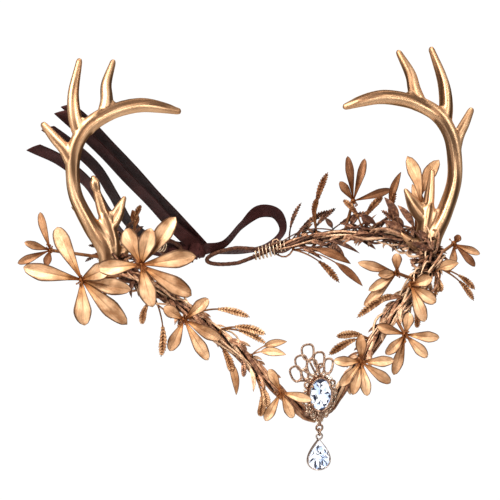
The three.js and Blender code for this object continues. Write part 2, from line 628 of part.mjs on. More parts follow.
function setting(grow) {
  const tongue = new THREE.Shape();
  tongue.moveTo(-TONGUE_HALF_WIDTH - grow, TONGUE_TOP);
  tongue.lineTo(-TONGUE_TIP_HALF_WIDTH - grow, TONGUE_TIP);
  tongue.lineTo(TONGUE_TIP_HALF_WIDTH + grow, TONGUE_TIP);
  tongue.lineTo(TONGUE_HALF_WIDTH + grow, TONGUE_TOP);
  const pegs = PEG_PLACES.map(([x, z]) => ovalBlock(x, z, PEG_RADIUS, PEG_RADIUS, -PEG_LENGTH,
    PEG_LENGTH + PLATE_THICKNESS / 2, PEG_SEGMENTS));
  return join([
    jewelPlate(grow),
    jewelBezel(grow),
    upright(tongue, -grow, PLATE_THICKNESS + 2 * grow, 1),
    ...CREST_CELLS.map((cell) => crestCell(cell, grow)),
    ...pegs,
    solid(wireRing(EYE_RADIUS, EYE_WIRE, eyePlace(), grow)),
  ]);
}

function eyePlace() {
  return JEWEL_PLACE.clone().add(new THREE.Vector3(0, -PLATE_THICKNESS / 2, -EYE_DROP));
}

// Heights of the linked rings, each hanging on the lower wire of the one above
function linkPlaces() {
  const eye = eyePlace();
  const swing = eye.clone().setZ(eye.z - EYE_RADIUS);
  const ring = swing.clone().setZ(swing.z + EYE_WIRE + RING_WIRE + LINK_PLAY - RING_RADIUS);
  const sway = ring.clone().setZ(ring.z - RING_RADIUS);
  const bail = sway.clone().setZ(sway.z + RING_WIRE + BAIL_WIRE + LINK_PLAY - BAIL_RADIUS);
  return { swing, ring, sway, bail };
}

// A cut stone: girdle, table and culet of one outline, about a centre that faces forward
function cutStone(outline, centre, girdle, table, culet) {
  const edge = GIRDLE_HEIGHT / 2;
  const shoulder = (girdle + table) / 2 + SHOULDER_LIFT;
  const levels = [[culet, CULET_SHARE], [girdle - edge, 1], [girdle + edge, 1], [shoulder, SHOULDER_SHARE],
    [table, TABLE_SHARE]];
  const sections = levels.map(([depth, share]) => outline.map(([x, z]) => new THREE.Vector3(
    centre.x + x * share,
    centre.y - depth,
    centre.z + z * share,
  )));
  return outward(loft(sections));
}

function ovalOutline() {
  return Array.from({ length: STONE_SIDES }, (_, i) => {
    const turn = (2 * Math.PI * i) / STONE_SIDES;
    return [STONE_HALF_WIDTH * Math.cos(turn), STONE_HALF_HEIGHT * Math.sin(turn)];
  });
}

// A pear outline with its point up, grown by a wall
function pearOutline(wall) {
  return Array.from({ length: PEAR_SIDES }, (_, i) => {
    const turn = (2 * Math.PI * (i + 0.5)) / PEAR_SIDES;
    const half = (Math.sin(turn) * Math.sin(turn / 2) ** PEAR_FULLNESS) / PEAR_WIDEST;
    return [(PEAR_HALF_WIDTH + wall) * half, (PEAR_HALF_HEIGHT + wall) * Math.cos(turn)];
  });
}

function dropCentre() {
  const { bail } = linkPlaces();
  return bail.clone().setZ(bail.z - BAIL_RADIUS - PEAR_HALF_HEIGHT - PEAR_WALL + BAIL_OVERLAP);
}

// A block of pear outline about the drop's centre, from a back depth to a front one
function pearBlock(wall, back, front) {
  const centre = dropCentre();
  const shape = new THREE.Shape(pearOutline(wall).map(([x, z]) => new THREE.Vector2(x, z)));
  const geometry = new THREE.ExtrudeGeometry(shape, { depth: front - back, bevelEnabled: false });
  geometry.rotateX(Math.PI / 2);
  geometry.translate(centre.x, centre.y - back, centre.z);
  return solid(geometry);
}

function dropBezel() {
  const { bail } = linkPlaces();
  const back = -DROP_HALF_DEPTH;
  const shell = pearBlock(PEAR_WALL, back, DROP_RIM);
  const stoneSpace = pearBlock(SEAT_GAP, back + DROP_LEDGE, DROP_RIM + 1);
  const backOpening = pearBlock(-DROP_LEDGE_WIDTH, back - 1, DROP_RIM);
  const hoop = solid(wireRing(BAIL_RADIUS, BAIL_WIRE, bail, 0));
  return join([shell.subtract(stoneSpace).subtract(backOpening), hoop]);
}

function jumpRing() {
  const geometry = wireRing(RING_RADIUS, RING_WIRE, new THREE.Vector3(), 0);
  geometry.rotateZ(Math.PI / 2);
  const { ring } = linkPlaces();
  geometry.translate(ring.x, ring.y, ring.z);
  return solid(geometry);
}

function mesh(name, body, material) {
  const { vertProperties, triVerts } = body.getMesh();
  const geometry = new THREE.BufferGeometry();
  geometry.setAttribute('position', new THREE.BufferAttribute(vertProperties, 3));
  geometry.setIndex(new THREE.BufferAttribute(triVerts, 1));
  geometry.computeVertexNormals();
  const piece = new THREE.Mesh(geometry, material);
  piece.name = name;
  return piece;
}

const crown = new THREE.Group();
const inPlace = [];

// Puts a piece in, cut clear of those already in place
function put(name, material, make) {
  crown.add(mesh(name, seat(make(0), inPlace), material));
  inPlace.push(make(SEAT_GAP));
}

for (const row of VINES) {
  put(row.name, BRONZE_VINE, (grow) => vine(row, grow));
}
for (const row of LOOPS) {
  put(`end_loop_${row.name}`, BROWN_TAPE, (grow) => endLoop(row, grow));
  put(`binding_${row.name}`, GILT, (grow) => coil(row, grow));
}
put('antler_left', GILT, (grow) => antler(-1, grow));
put('antler_right', GILT, (grow) => antler(1, grow));
put('setting', GILT, setting);
put('ribbon_knot', SATIN, knot);
for (const row of RIBBONS) {
  put(row.name, SATIN, (grow) => ribbon(row, grow));
}
for (const row of FLOWERS) {
  put(`flower_${row.name}`, GILT_CLOTH, (grow) => flower(row, grow));
}
for (const row of SPRIGS) {
  put(`sprig_${row.name}`, GILT_CLOTH, (grow) => sprig(row, grow));
}

const ovalStone = cutStone(ovalOutline(), JEWEL_PLACE, STONE_GIRDLE_AT, STONE_TABLE_AT, STONE_CULET_AT);
const dropCulet = -DROP_HALF_DEPTH + DROP_LEDGE + SEAT_GAP;
const dropStone = cutStone(pearOutline(0), dropCentre(), DROP_GIRDLE_AT, DROP_HALF_DEPTH, dropCulet);
crown.add(mesh('oval_stone', ovalStone, CRYSTAL));
crown.add(mesh('jump_ring', jumpRing(), GILT));
crown.add(mesh('drop_bezel', dropBezel(), GILT));
crown.add(mesh('drop_stone', dropStone, CRYSTAL));

export default crown;
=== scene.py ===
# Looks of the antler crown: gilt antlers, vine, flowers and sprigs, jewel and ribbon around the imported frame.
# Tables are in millimetres, as the part's are, and meshes are made in metres.
import math

import bmesh
import bpy
import numpy as np
from mathutils import Matrix, Vector


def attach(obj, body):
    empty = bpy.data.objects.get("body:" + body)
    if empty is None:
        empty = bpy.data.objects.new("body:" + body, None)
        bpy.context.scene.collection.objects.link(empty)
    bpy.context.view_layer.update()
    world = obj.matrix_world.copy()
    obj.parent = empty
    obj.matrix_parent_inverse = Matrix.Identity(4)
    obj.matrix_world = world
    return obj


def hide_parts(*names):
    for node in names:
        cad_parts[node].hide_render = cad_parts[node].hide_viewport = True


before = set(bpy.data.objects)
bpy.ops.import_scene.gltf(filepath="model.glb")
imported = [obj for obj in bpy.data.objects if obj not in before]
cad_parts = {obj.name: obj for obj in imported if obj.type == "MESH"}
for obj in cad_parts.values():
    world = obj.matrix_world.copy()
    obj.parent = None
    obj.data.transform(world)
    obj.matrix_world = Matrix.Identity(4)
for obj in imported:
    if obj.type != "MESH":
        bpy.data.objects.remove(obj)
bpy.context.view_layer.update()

MM = 0.001
RIGHT = np.array([1.0, 0.0, 0.0])
FORWARD = np.array([0.0, -1.0, 0.0])
UP = np.array([0.0, 0.0, 1.0])
SLANTED = np.array([0.31, 0.17, 0.94])
rng = np.random.default_rng(20)

# Camera: the angle the crown is shown at, and the picture point where the ring's middle falls
VIEW_AZIMUTH = math.radians(-15)
VIEW_ELEVATION = math.radians(12)
VIEW_DISTANCE = 1250.0
PICTURE_SIZE = 500
PICTURE_SCALE = 0.6
RING_PICTURE_X = 274
RING_PICTURE_Y = 249
SENSOR_WIDTH = 36.0
CLIP_END = 20.0

ACROSS = np.array([math.cos(VIEW_AZIMUTH), math.sin(VIEW_AZIMUTH), 0.0])
TOWARD = np.array([math.sin(VIEW_AZIMUTH) * math.cos(VIEW_ELEVATION),
                   -math.cos(VIEW_AZIMUTH) * math.cos(VIEW_ELEVATION),
                   math.sin(VIEW_ELEVATION)])
RISE = np.cross(TOWARD, ACROSS)

# Lights: place across, up and toward the camera, size and power; then the wall, the floor and the dim room
LAMPS = {
    "key": (-480, 720, 820, 0.9, 21.5),
    "fill": (760, 300, 760, 0.5, 5.5),
    "top": (150, 1050, -150, 0.6, 5.0),
    "low": (-700, -300, 800, 0.6, 3.5),
}
WALL_BEHIND = 1500.0
WALL_GLOW = 1.02
POOL_WHITE = 480.0
POOL_EDGE = 1100.0
POOL_EDGE_GLOW = 0.15
FLOOR_HEIGHT = -720.0
FLOOR_HALF = 2500.0
ROOM_LIGHT = 0.35
ROOM_TONES = [(0.0, (0.10, 0.09, 0.08)), (0.5, (0.42, 0.41, 0.40)), (0.75, (0.55, 0.54, 0.53)),
              (1.0, (1.0, 1.0, 1.0))]

# Head ring: angle from the front, then the height of the left and the right half
RING_HALF_WIDTH = 95.0
RING_HALF_DEPTH = 97.0
RING_HEIGHTS = [
    (0, -80, -76), (8, -71, -62), (15, -60, -46), (23, -46, -32), (33, -32, -20), (46, -18, -10),
    (60, -9, -4), (90, -2, -3), (115, 0, -4), (140, -7, -10), (152, -15, -14), (163, -23, -20),
    (180, -31, -28),
]

# Antlers: each limb's points from the foot, out, back and up, with the radius; then the skin's creases
# and hollows, and the sway of a crease by amount, axis and rate
ANTLER_HALF_SPACING = 98.6
ANTLER_LIFT = 2.6
ANTLER_STRETCH = 0.025
ANTLER_ASIDE = -1.0
ANTLER_LIMBS = {
    "beam": [(1, 0, -6, 6.5), (3, 1, 3, 6.1), (11, 3, 17, 5.2), (19, 7, 36, 4.7), (20, 10, 50, 4.8),
             (17.5, 12, 64, 5.0), (10, 14, 75.5, 5.1), (-3, 16, 83, 4.9), (-14, 18, 86, 4.9),
             (-24, 19, 87, 4.8), (-36, 20.5, 85, 3.9), (-45.5, 22, 82, 2.3)],
    "top outer tine": [(14, 13, 70, 4.8), (16.5, 17, 81, 4.5), (16.5, 22, 94, 3.9), (11.5, 30, 112.5, 2.1)],
    "top inner tine": [(0, 16, 80, 5.0), (-3, 21, 90, 4.5), (-4, 26, 99, 3.8), (-9, 32, 111, 2.1)],
    "small outer tine": [(19, 10, 52, 4.8), (23.5, 13, 62, 3.9), (29, 17, 69, 3.3), (34.2, 21, 76, 2.2)],
    "brow stem": [(-1, 1, -4, 5.8), (-1, 3, 8, 5.4), (2, 6, 20, 4.4)],
    "brow tine one": [(1, 5, 17, 4.2), (4, 9, 29, 3.4), (6.5, 12, 41.5, 1.8)],
    "brow tine two": [(1, 5, 13, 5.2), (-6, 8, 22, 4.5), (-10.5, 11, 31, 1.6)],
    "brow tine three": [(-1, 1, -3, 4.4), (-8, 3, 0, 3.6), (-14.5, 6, 6, 1.2)],
}
LEFT_BUD = [(5.6, 11, 36.5, 1.9), (5.9, 11.3, 38.2, 3.0), (6.6, 12, 41.6, 3.3), (7, 12.4, 43.4, 2.2)]
ANTLER_SIDES = 20
ANTLER_STEPS = 12
ANTLER_VOXEL = 0.00075
SMOOTHING_FACTOR = 0.5
SMOOTHING_ROUNDS = 14
EVENING_ROUNDS = 3
SMOOTHING_LOSS = 1.0
CREASES = (0.6, 2.7, 4.5)
CREASE_WIDTH = 0.42
CREASE_DEPTH = 0.8
CREASE_FROM = 1.4
CREASE_FULL = 3.9
CREASE_SWAY = [(0.35, 2, 0.07), (0.25, 0, 0.09)]
HOLLOW_TURNS = (74.0, 84.0)
HOLLOW_LEAN = 0.45
HOLLOW_FROM = 0.64
HOLLOW_FULL = 0.84
HOLLOW_DEPTH = 0.7
SLIM_FROM = 4.2
SLIM_TO = 2.0
FOOT_LOW = -8.0
FOOT_HIGH = 14.0
NEAREST_BATCH = 4000

# Columns of a row that stands for a place along a limb, after its point
SAMPLE_RADIUS = 3
SAMPLE_NORMAL = slice(4, 7)
SAMPLE_BESIDE = slice(7, 10)
SAMPLE_HOLLOW = slice(10, 13)
SAMPLE_WAY = slice(13, 16)
SAMPLE_SLOPE = 16

# Paint: painted shade where other pieces lie close, by how near, from how open to how shut and by how much,
# the tones of petals and blades from stalk to tip, and the foils behind the stones, painted with white, blue
# and dark reflections that glow
CREVICE_SHADE_REACH = 9.0
CREVICE_SHADE_OPEN = 0.72
CREVICE_SHADE_SHUT = 0.28
CREVICE_SHADE_SHARE = 0.95
TONE_PLACES = (0.0, 0.2, 0.5, 1.0)
PETAL_TONES = [(0.58, 0.175, 0.040), (0.60, 0.300, 0.125), (0.83, 0.530, 0.318), (0.81, 0.510, 0.305)]
SPRIG_TONES = [(0.24, 0.095, 0.045), (0.48, 0.245, 0.125), (0.74, 0.435, 0.240), (0.78, 0.470, 0.260)]
FOIL_REFLECTION_TONES = {"foil_white_reflection": (0.97, 0.98, 1.0), "foil_blue_reflection": (0.62, 0.74, 0.98),
              "foil_dark_reflection": (0.015, 0.020, 0.045)}
FOIL_REFLECTION_CHOICE = [1, 1, 1, 2, 2, 3, 3]
FOIL_PAINTED_GLOW = 0.65

# Flowers: hub, ring angle of the foot, petal width, tone from dark bronze 0 to champagne 1,
# then each petal's picture angle, reach and lean forward
PETAL_ARCH = 0.12
PETAL_CUP = (0.46, 0.72)
PETAL_WAVE = 0.24
PETAL_TWIST = 0.2
PETAL_CURL = (0.04, 0.09)
PETAL_TONE_SPREAD = 0.42
PETAL_LAYER = 0.8
HUB_RADIUS = 1.92
HUB_SET_BACK = 0.6
STEM_RADIUS = 1.0
STEM_STOP = 1.5
STEM_ELBOW_SHARE = 0.6
STEM_ELBOW_BACK = 3.0
STAMENS = 8
STAMEN_REACH = (3.5, 6.5)
STAMEN_SPREAD = (1.2, 4.4)
STAMEN_RISE = 4.5
STAMEN_RADIUS = 0.28
ANTHER_RADIUS = 0.6
FLOWERS = {
    "left_large": ((-121.5, -24, -6.5), -76, 12.0, 0.85,
                   [(168, 34, 2), (116, 34, -4), (-86, 26, 4), (-44, 36, 8), (-11, 29, 10), (24, 21, 14)]),
    "left_front": ((-93, -54, 7), -60, 12.0, 0.88,
                   [(54, 33, 3), (9, 31, 4), (-31, 33, 5), (-74, 24, 6), (184, 24, 2), (113, 22, -2),
                    (74, 21, 8)]),
    "left_outer": ((-134.5, 5.5, 5.5), -92, 6.0, 0.45,
                   [(105, 23, 0), (162, 15, 6), (202, 20, 4), (258, 9, 4)]),
    "left_lower": ((-74, -79, -20), -44, 8.5, 0.8,
                   [(41, 17.5, 2), (-28, 23, 3), (-59, 26, 3), (245, 19, 2), (147, 13, 4)]),
    "jewel_left": ((-26, -107.5, -57.5), -14, 7.0, 0.75,
                   [(-14, 17, 5), (-65, 15.5, 3), (241, 18, 2), (118, 14, 1)]),
    "jewel_right": ((20, -109, -43), 15, 7.5, 0.85,
                    [(91, 15, 3), (177, 15, 4), (229, 17.5, 2), (255, 18.5, 4), (-80, 19, 3), (-36, 20, 2),
                     (3, 18, 3)]),
    "right_lower": ((49.5, -98, -32), 30, 7.5, 0.75,
                    [(-5, 19, 3), (162, 16.5, 2), (81, 12.5, 4), (-46, 17.5, 3), (254, 23.5, 2),
                     (224, 15.5, 5)]),
    "right_inner": ((52, -75, -1.5), 47, 7.0, 0.8,
                    [(165, 23, 6), (185, 11, 8), (211, 19, 8), (224, 26, 6), (92, 11, 2)]),
    "right_middle": ((59, -79.5, -8), 43, 9.0, 0.9, [(-35, 17, 3), (-70, 22, 3), (20, 12, 5)]),
    "right_outer": ((99.5, -40.5, 6), 68, 5.5, 0.4, [(-22, 16, 4), (-48, 18, 3), (264, 13, 4), (60, 6, 2)]),
    "back": ((73, 72.5, 12.5), 136, 6.5, 0.25, [(97, 29, 0), (75, 28, 2), (17, 25, 4), (125, 15, 3)]),
}

# Sprigs: ring angle of the foot, tone, then each blade's picture angle, reach, lean, width,
# bare stalk's share and number of teeth, 0 for a pointed leaf and ROUND for a round-ended one
ROUND = -1
VINE_RADIUS = 3.4
BLADE_ARCH = 0.08
SPRIG_FOOT_LIFT = 0.9
SPRIGS = {
    "left_inner_high": (-43, 0.9, [(-6, 27.5, 11, 4.5, 0.35, 11)]),
    "left_inner_middle": (-35, 0.9, [(-6, 24.5, 10, 5, 0.3, 11), (-18, 26, 8, 4, 0.35, 9)]),
    "left_inner_low": (-25, 0.8, [(21, 21, 5, 4.5, 0.4, 0), (1, 19, 8, 5, 0.3, 0)]),
    "left_under_high": (-61, 0.6, [(-112, 17.5, 2, 4.5, 0.3, 9), (-83, 35, 3, 5, 0.5, 9)]),
    "left_under_middle": (-33, 0.55, [(-65, 16.5, 4, 5, 0.2, 9), (-71, 29.5, 3, 4.5, 0.35, 0)]),
    "left_under_low": (-20, 0.75, [(-70, 16.5, 4, 5, 0.3, 9), (-85, 20.5, 2, 5, 0.45, 10)]),
    "right_inner_high": (36, 0.65, [(205, 27.5, 16, 5, 0.25, 12), (192, 14.5, 10, 4, 0.2, 8)]),
    "right_inner_low": (20, 0.75, [(176, 18, 9, 5, 0.2, 10), (202, 24, 11, 5, 0.3, 10)]),
    "right_under": (38, 0.4, [(-79, 14, 4, 4, 0.3, 8), (-101, 16, 3, 5, 0.3, 0)]),
    "right_leaf": (54, 0.75, [(24, 15, 6, 7, 0.3, 0), (-74, 11, 4, 4.5, 0.3, 8)]),
    "right_hanging": (62, 0.45, [(-31, 25, 5, 4, 0.5, 9), (-43, 28.5, 4, 4, 0.5, 9)]),
    "right_foot": (82, 0.35, [(-42, 14.5, 4, 4, 0.4, 7), (-87, 25, 3, 4.5, 0.3, 9)]),
    "right_behind": (98, 0.85, [(96, 49, -3, 10, 0.4, ROUND), (94, 31.5, -2, 7, 0.4, 0),
                                (72, 49, -9, 10, 0.4, ROUND)]),
    "back_right": (114, 0.3, [(80, 36, 2, 5, 0.45, 0), (83, 23, 5, 4.5, 0.3, 8)]),
    "back_middle": (128, 0.3, [(57, 24, 6, 5, 0.35, 10), (123, 21.5, -4, 4.5, 0.3, 9)]),
    "back_high": (147, 0.25, [(79, 39, 0, 5, 0.45, 10), (89, 21.5, 1, 4.5, 0.4, 8)]),
    "back_hanging": (157, 0.3, [(-28, 49.5, 20, 5, 0.6, 0), (-36, 36, 14, 5, 0.5, 9),
                                (-14, 37.5, 14, 6, 0.4, 0)]),
    "left_back": (-112, 0.2, [(142, 32.5, -4, 4.5, 0.55, 9), (109, 17.5, 2, 5, 0.3, 9)]),
    "left_rear": (-130, 0.25, [(77, 19, 1, 4, 0.4, 8), (95, 15.5, 0, 5.5, 0.35, 0)]),
}

# Leaves and ears of petals, sprigs and twigs, mostly as shares of their width or reach
LEAF_THICKNESS = 0.5
LEAF_THINNING = 0.6
LEAF_CUP = 0.3
LEAF_WAVE = 0.06
LEAF_TWIST = 0.25
STALK_WIDTH = 0.16
LEAST_WIDTH = 0.04
WAVES_ALONG = 9
WAVES_ACROSS = 1.7
WAVES_BY_TINT = 40
GROOVE_DEPTH = 0.16
GROOVE_WIDTH = 0.18
EAR_STEPS = 12
EAR_BODY = 0.7
EAR_CUP = 0.35
EAR_END = 0.96
EAR_LEAST_STALK = 0.12
STALK_RADII = (0.62, 0.25)
EAR_DROOP = 0.09
LEAF_DROOP = 0.1
TOOTH_SPREAD = 0.75
TOOTH_LENGTH = 0.78
TOOTH_WIDTH = 0.28
TOOTH_LIFT = (0.1, 0.3)

# Vine: span of each half, zones of loose stems with ring angles, number and how far they arch,
# zones of needles, and twigs with foot, picture angle, reach, lean, width, teeth and tone
STEMS_EACH = 8
STEM_SIDES = 8
LOOSE_SIDES = 6
FRONT_PALE = 0.34
FRONT_REACH = 75.0
FRONT_FULL = 45.0
STEM_ORBITS = (1.955, 2.645)
STEM_TINTS = (0.15, 0.8)
STEM_RADII = (0.85, 1.25)
CORE_RADIUS = 1.5
LOOSE_SPAN = (8, 30)
LOOSE_START = 1.5
LOOSE_STEP = 1.2
LOOSE_TINTS = (0.2, 1.05)
LOOSE_RADII = (0.42, 0.87)
NEEDLE_ROOT = 2.2
NEEDLES_BACKWARD = 0.35
NEEDLE_LEAN = (0.9, 2.1)
NEEDLE_REACH = (6, 15)
NEEDLE_TINTS = (0.25, 0.8)
NEEDLE_WIDTH = (1.4, 2.8)
TWIG_STALK = 0.35
TWIG_LEAF_STALK = 0.4
ORBIT_SWAY = 0.45
ORBIT_SWAY_RATE = 0.12
STEM_TWIST = 0.085
TWIST_SWAY = 0.5
TWIST_SWAY_RATE = 0.05
VINE_STEP = 1.5
RING_EASING = (-4, -2, 0, 2, 4)
VINE_SPANS = {"vine_left": (-0.6, -142), "vine_right": (0.6, 165)}
LOOSE_STEMS = {
    "vine_left": [(-8, -40, 16, 3, 6), (-36, -80, 34, 3, 9), (-70, -118, 16, 3, 10), (-112, -142, 5, 2, 4)],
    "vine_right": [(6, 36, 14, 3, 6), (28, 62, 34, 3, 9), (52, 100, 40, 4, 12), (92, 130, 24, 3, 9),
                   (122, 164, 16, 3, 8)],
}
NEEDLES = {
    "vine_left": [(-14, -80, 46), (-70, -135, 40)],
    "vine_right": [(10, 60, 50), (50, 130, 110), (125, 162, 22)],
}
TWIGS = {
    "vine_left": [(-98, 160, 17, 2, 3, 8, 0.3), (-104, 200, 19, 3, 3, 8, 0.25), (-88, 248, 24, 4, 3, 9, 0.3),
                  (-52, -84, 20, 3, 3.5, 8, 0.55), (-28, -78, 14, 4, 3.5, 8, 0.5),
                  (-118, 60, 15, 0, 3, 7, 0.2)],
    "vine_right": [(58, 160, 13, 5, 3, 7, 0.3), (66, 128, 12, 3, 4, 0, 0.3), (74, 150, 15, 4, 4, 0, 0.25),
                   (84, 118, 13, 2, 4, 0, 0.3), (106, 112, 15, 2, 4.5, 0, 0.3), (48, -96, 15, 4, 3, 7, 0.4),
                   (120, 60, 14, 3, 3, 7, 0.3), (140, 118, 13, 0, 3.5, 0, 0.2),
                   (160, -20, 26, 10, 2.6, 0, 0.35), (156, -8, 24, 8, 3, 0, 0.45),
                   (150, -30, 26, 8, 3, 0, 0.4), (146, -38, 20, 8, 2.8, 0, 0.35),
                   (143, -62, 13, 5, 3, 6, 0.5), (152, -14, 36, 12, 3, 0, 0.35),
                   (136, -24, 22, 6, 3, 0, 0.4), (104, 132, 24, 4, 4, 8, 0.4), (108, 112, 27, 2, 5, 0, 0.35),
                   (100, 146, 22, 5, 4, 0, 0.4), (112, 98, 22, 2, 4, 8, 0.35), (118, 140, 20, 3, 4, 0, 0.3),
                   (96, 118, 26, 3, 4.5, 0, 0.45), (158, 74, 28, 0, 3.5, 8, 0.35),
                   (158, 40, 34, 0, 4.5, 10, 0.4), (150, 50, 26, 0, 4, 9, 0.35),
                   (144, 28, 34, 0, 4.5, 10, 0.35), (134, 64, 16, 2, 4, 0, 0.3),
                   (125, 110, 14, 2, 4, 0, 0.3)],
}

# Taped wire loops at the two back ends and the coils that bind them, by ring angles
LOOP_WIRE_RADIUS = 1.35
LOOP_PINCH = 1.55
LOOP_HALF_HEIGHT = 5.0
LOOP_STEPS = 180
TAPE_RIDGES = 34
TAPE_LOW = 0.93
TAPE_STEP = 0.12
COIL_RADIUS = 4.1
COIL_WIRE_RADIUS = 0.42
COIL_TURNS = 9
COIL_STEPS = 22
COIL_TAPER = 0.2
COIL_SPREAD = 2.0
LOOPS = {
    "left": (-143.5, -158, -138, -146.5),
    "right": (166.5, 191, 161, 170),
}

# Ribbon: each strip's centre line and its turn about it, 0 where its face looks forward
RIBBON_WIDTH = 10.0
RIBBON_THICKNESS = 0.45
RIBBON_COLUMNS = 11
RIBBON_STEPS = 16
RIBBON_LEAST_ROWS = 12
RIBBON_ROWS_PER_MM = 0.6
RIBBON_CURL = 0.05
TAIL_SLANT = 0.12
TAIL_CUT = 0.875
KNOT_PLACE = np.array([-25, 96, -19])
KNOT_HEART = (5.6, 4.2, 5.2)
KNOT_TURNS = [(0.25, -1.2, 7.0), (-0.55, 1.6, 6.0)]
KNOT_WRAP = (6.3, 5.2)
KNOT_FOLD = 0.35
KNOT_SAG = 0.7
KNOT_COLUMNS = 7
KNOT_STEPS = 48
RIBBONS = {
    "ribbon_strap": [(-46, 86, -19, 10), (-37, 91, -20, 0), (-26, 96, -20, 0)],
    "ribbon_bow": [(-22, 97, -19, 40), (-6, 101, -17, 64), (7, 105, -6, 68), (20, 108, 2, 38),
                   (33, 110, -1, 46), (37, 109, -12, 66), (27, 107, -21, 70), (10, 105, -24, 75),
                   (-14, 102, -22, 70)],
    "ribbon_tail_one": [(-24.5, 96, -17, -20), (-45.5, 80, 3.5, -45), (-62, 64, 21.5, -48),
                        (-79.5, 48, 39.5, -50), (-95.5, 36, 57, -50), (-111.5, 28, 73, -50),
                        (-123, 27.5, 84, -50)],
    "ribbon_tail_two": [(-21.5, 99, -17, -20), (-40.5, 83, 5.5, -45), (-57.5, 67, 23.5, -48),
                        (-74.5, 51, 42.5, -50), (-91, 39, 60, -50), (-106, 31, 76, -50),
                        (-118.5, 29, 87.5, -50)],
    "ribbon_tail_three": [(-25.5, 98, -20.5, -20), (-39.5, 101, -16.5, -40), (-56.5, 91, -8.5, -45),
                          (-73.5, 73, 7, -50), (-87, 52, 28, -50), (-100, 39, 47.5, -50),
                          (-116.5, 31, 63.5, -50), (-130.5, 29, 74.5, -50)],
    "ribbon_tail_four": [(-26, 97, -22.5, -20), (-41.5, 99, -20, -40), (-58.5, 89, -13.5, -45),
                         (-78.5, 71, -0.5, -50), (-93.5, 48, 21, -50), (-106.5, 33, 40, -50),
                         (-124, 25, 55.5, -50), (-141, 19, 65, -50)],
}

# Jewel: places and sizes; crest cells by turn, distance, half length and half width,
# leaves of one side and the lowest one by angle from straight up, length and half width
JEWEL_PLACE = np.array([-2.7, -104.0, -61.0])
STONE_HALF = (6.0, 9.0)
STONE_GIRDLE = 2.4
STONE_TABLE = 4.4
STONE_CULET = -0.4
BEZEL_WALL = 0.9
BEZEL_BACK = 0.6
BEZEL_FRONT = 3.1
BEZEL_BEAD = 0.45
BEZEL_BEAD_SPACING = 1.0
STONE_PLAY = 0.15
FACET_STEPS = 16
PLATE_HALF = (8.2, 11.0)
PLATE_DEPTHS = (-0.1, 0.6)
WINDOW_SHARE = 0.75
CREST_LEAN = 16
CREST_CELLS = [
    (0, 25.4, 4.8, 4.0), (14, 21.5, 4.6, 3.9), (-14.6, 19.6, 4.8, 3.6), (32, 18.6, 4.8, 3.5),
    (-33.4, 16.4, 4.6, 3.0), (0, 16.2, 4.8, 3.4), (-19, 14.4, 3.2, 2.2), (20, 14.6, 3.2, 2.2),
]
CELL_WAIST = 0.74
CELL_SQUARE = 0.78
CELL_LEAN = 0.4
CELL_WIRE = (-0.2, -0.4, 0.6)
CELL_ROPE = (0.1, -0.05, 1.0)
ROPE_RADIUS = 0.5
ROPE_SPACING = 0.85
RIB_GATHER = 0.75
PLATE_BEAD_ROWS = (2.1, 3.5)
PLATE_BEAD = 0.52
PLATE_BEAD_SPACING = 1.248
PLATE_BEAD_FORWARD = 0.9
TONGUE_BEADS = (-12.0, -18.4, 5.0)
TONGUE_RADII = (2.0, 0.9)
SIDE_LEAVES = [
    (60, 8.6, 2.4), (88, 8.4, 2.2), (114, 9.8, 2.4), (140, 11.4, 2.6), (160, 13.5, 2.4),
]
LOWEST_LEAF = (180, 15.4, 2.9)
LEAF_FORWARD = 0.9
LEAF_BEAD = 0.36
LEAF_BEAD_SPACING = 0.9
CLAW_ANGLES = (35, 145, 215, 325)
CLAW_RADIUS = 0.8
PEGS = [(-6.6, -11), (6.4, -10)]
PEG_LENGTH = 9.0
PEG_RADIUS = 1.8
EYE_PLACE = np.array([-2.7, -104.6, -80.8])
EYE_SIZE = (1.8, 0.6)
JUMP_PLACE = np.array([-2.7, -104.6, -83.25])
JUMP_SIZE = (1.9, 0.45)
BAIL_PLACE = np.array([-2.7, -104.6, -85.75])
BAIL_SIZE = (1.7, 0.5)
DROP_PLACE = np.array([-2.7, -104.6, -96.55])
PEAR_HALF = (6.1, 8.5)
PEAR_WALL = 0.7
PEAR_PLAY = 0.12
PEAR_FULLNESS = 1.1
PEAR_WIDEST = 0.752
DROP_HALF_DEPTH = 2.2
DROP_RIM = 0.5
CORNER_EASE = 0.12
FILIGREE_WIRE = 0.62


# Lines and directions
def unit(vector):
    return vector / np.linalg.norm(vector)


def units(rows):
    return rows / np.maximum(np.linalg.norm(rows, axis=1, keepdims=True), 1e-9)


def square_to(vector, way):
    """The part of a vector that lies square to a way, as a direction."""
    return unit(vector - way * np.dot(vector, way))


def turned(first, second, turn):
    """One direction turned toward another."""
    return first * math.cos(turn) + second * math.sin(turn)


def full_turn(count):
    return np.linspace(0, 2 * math.pi, count, endpoint=False)


def part_way(value, low, high):
    """How far a value has come from low, 0, to high, 1."""
    return np.clip((value - low) / (high - low), 0, 1)


def drawn(low, high):
    """A seeded draw between two values."""
    return low + (high - low) * rng.random()


def ring_point(angle):
    turn = math.radians(angle)
    side = angle if angle <= 180 else angle - 360
    column = 1 if side < 0 else 2
    height = np.interp(abs(side), [row[0] for row in RING_HEIGHTS], [row[column] for row in RING_HEIGHTS])
    return np.array([RING_HALF_WIDTH * math.sin(turn), -RING_HALF_DEPTH * math.cos(turn), height])


def ring_frame(angle):
    tangent = unit(ring_point(angle + 1) - ring_point(angle - 1))
    outward = square_to(turned(FORWARD, RIGHT, math.radians(angle)), tangent)
    return tangent, outward, np.cross(outward, tangent) * (1 if angle >= 0 else -1)


def picture_way(angle, reach, lean):
    return reach * turned(ACROSS, RISE, math.radians(angle)) + lean * TOWARD


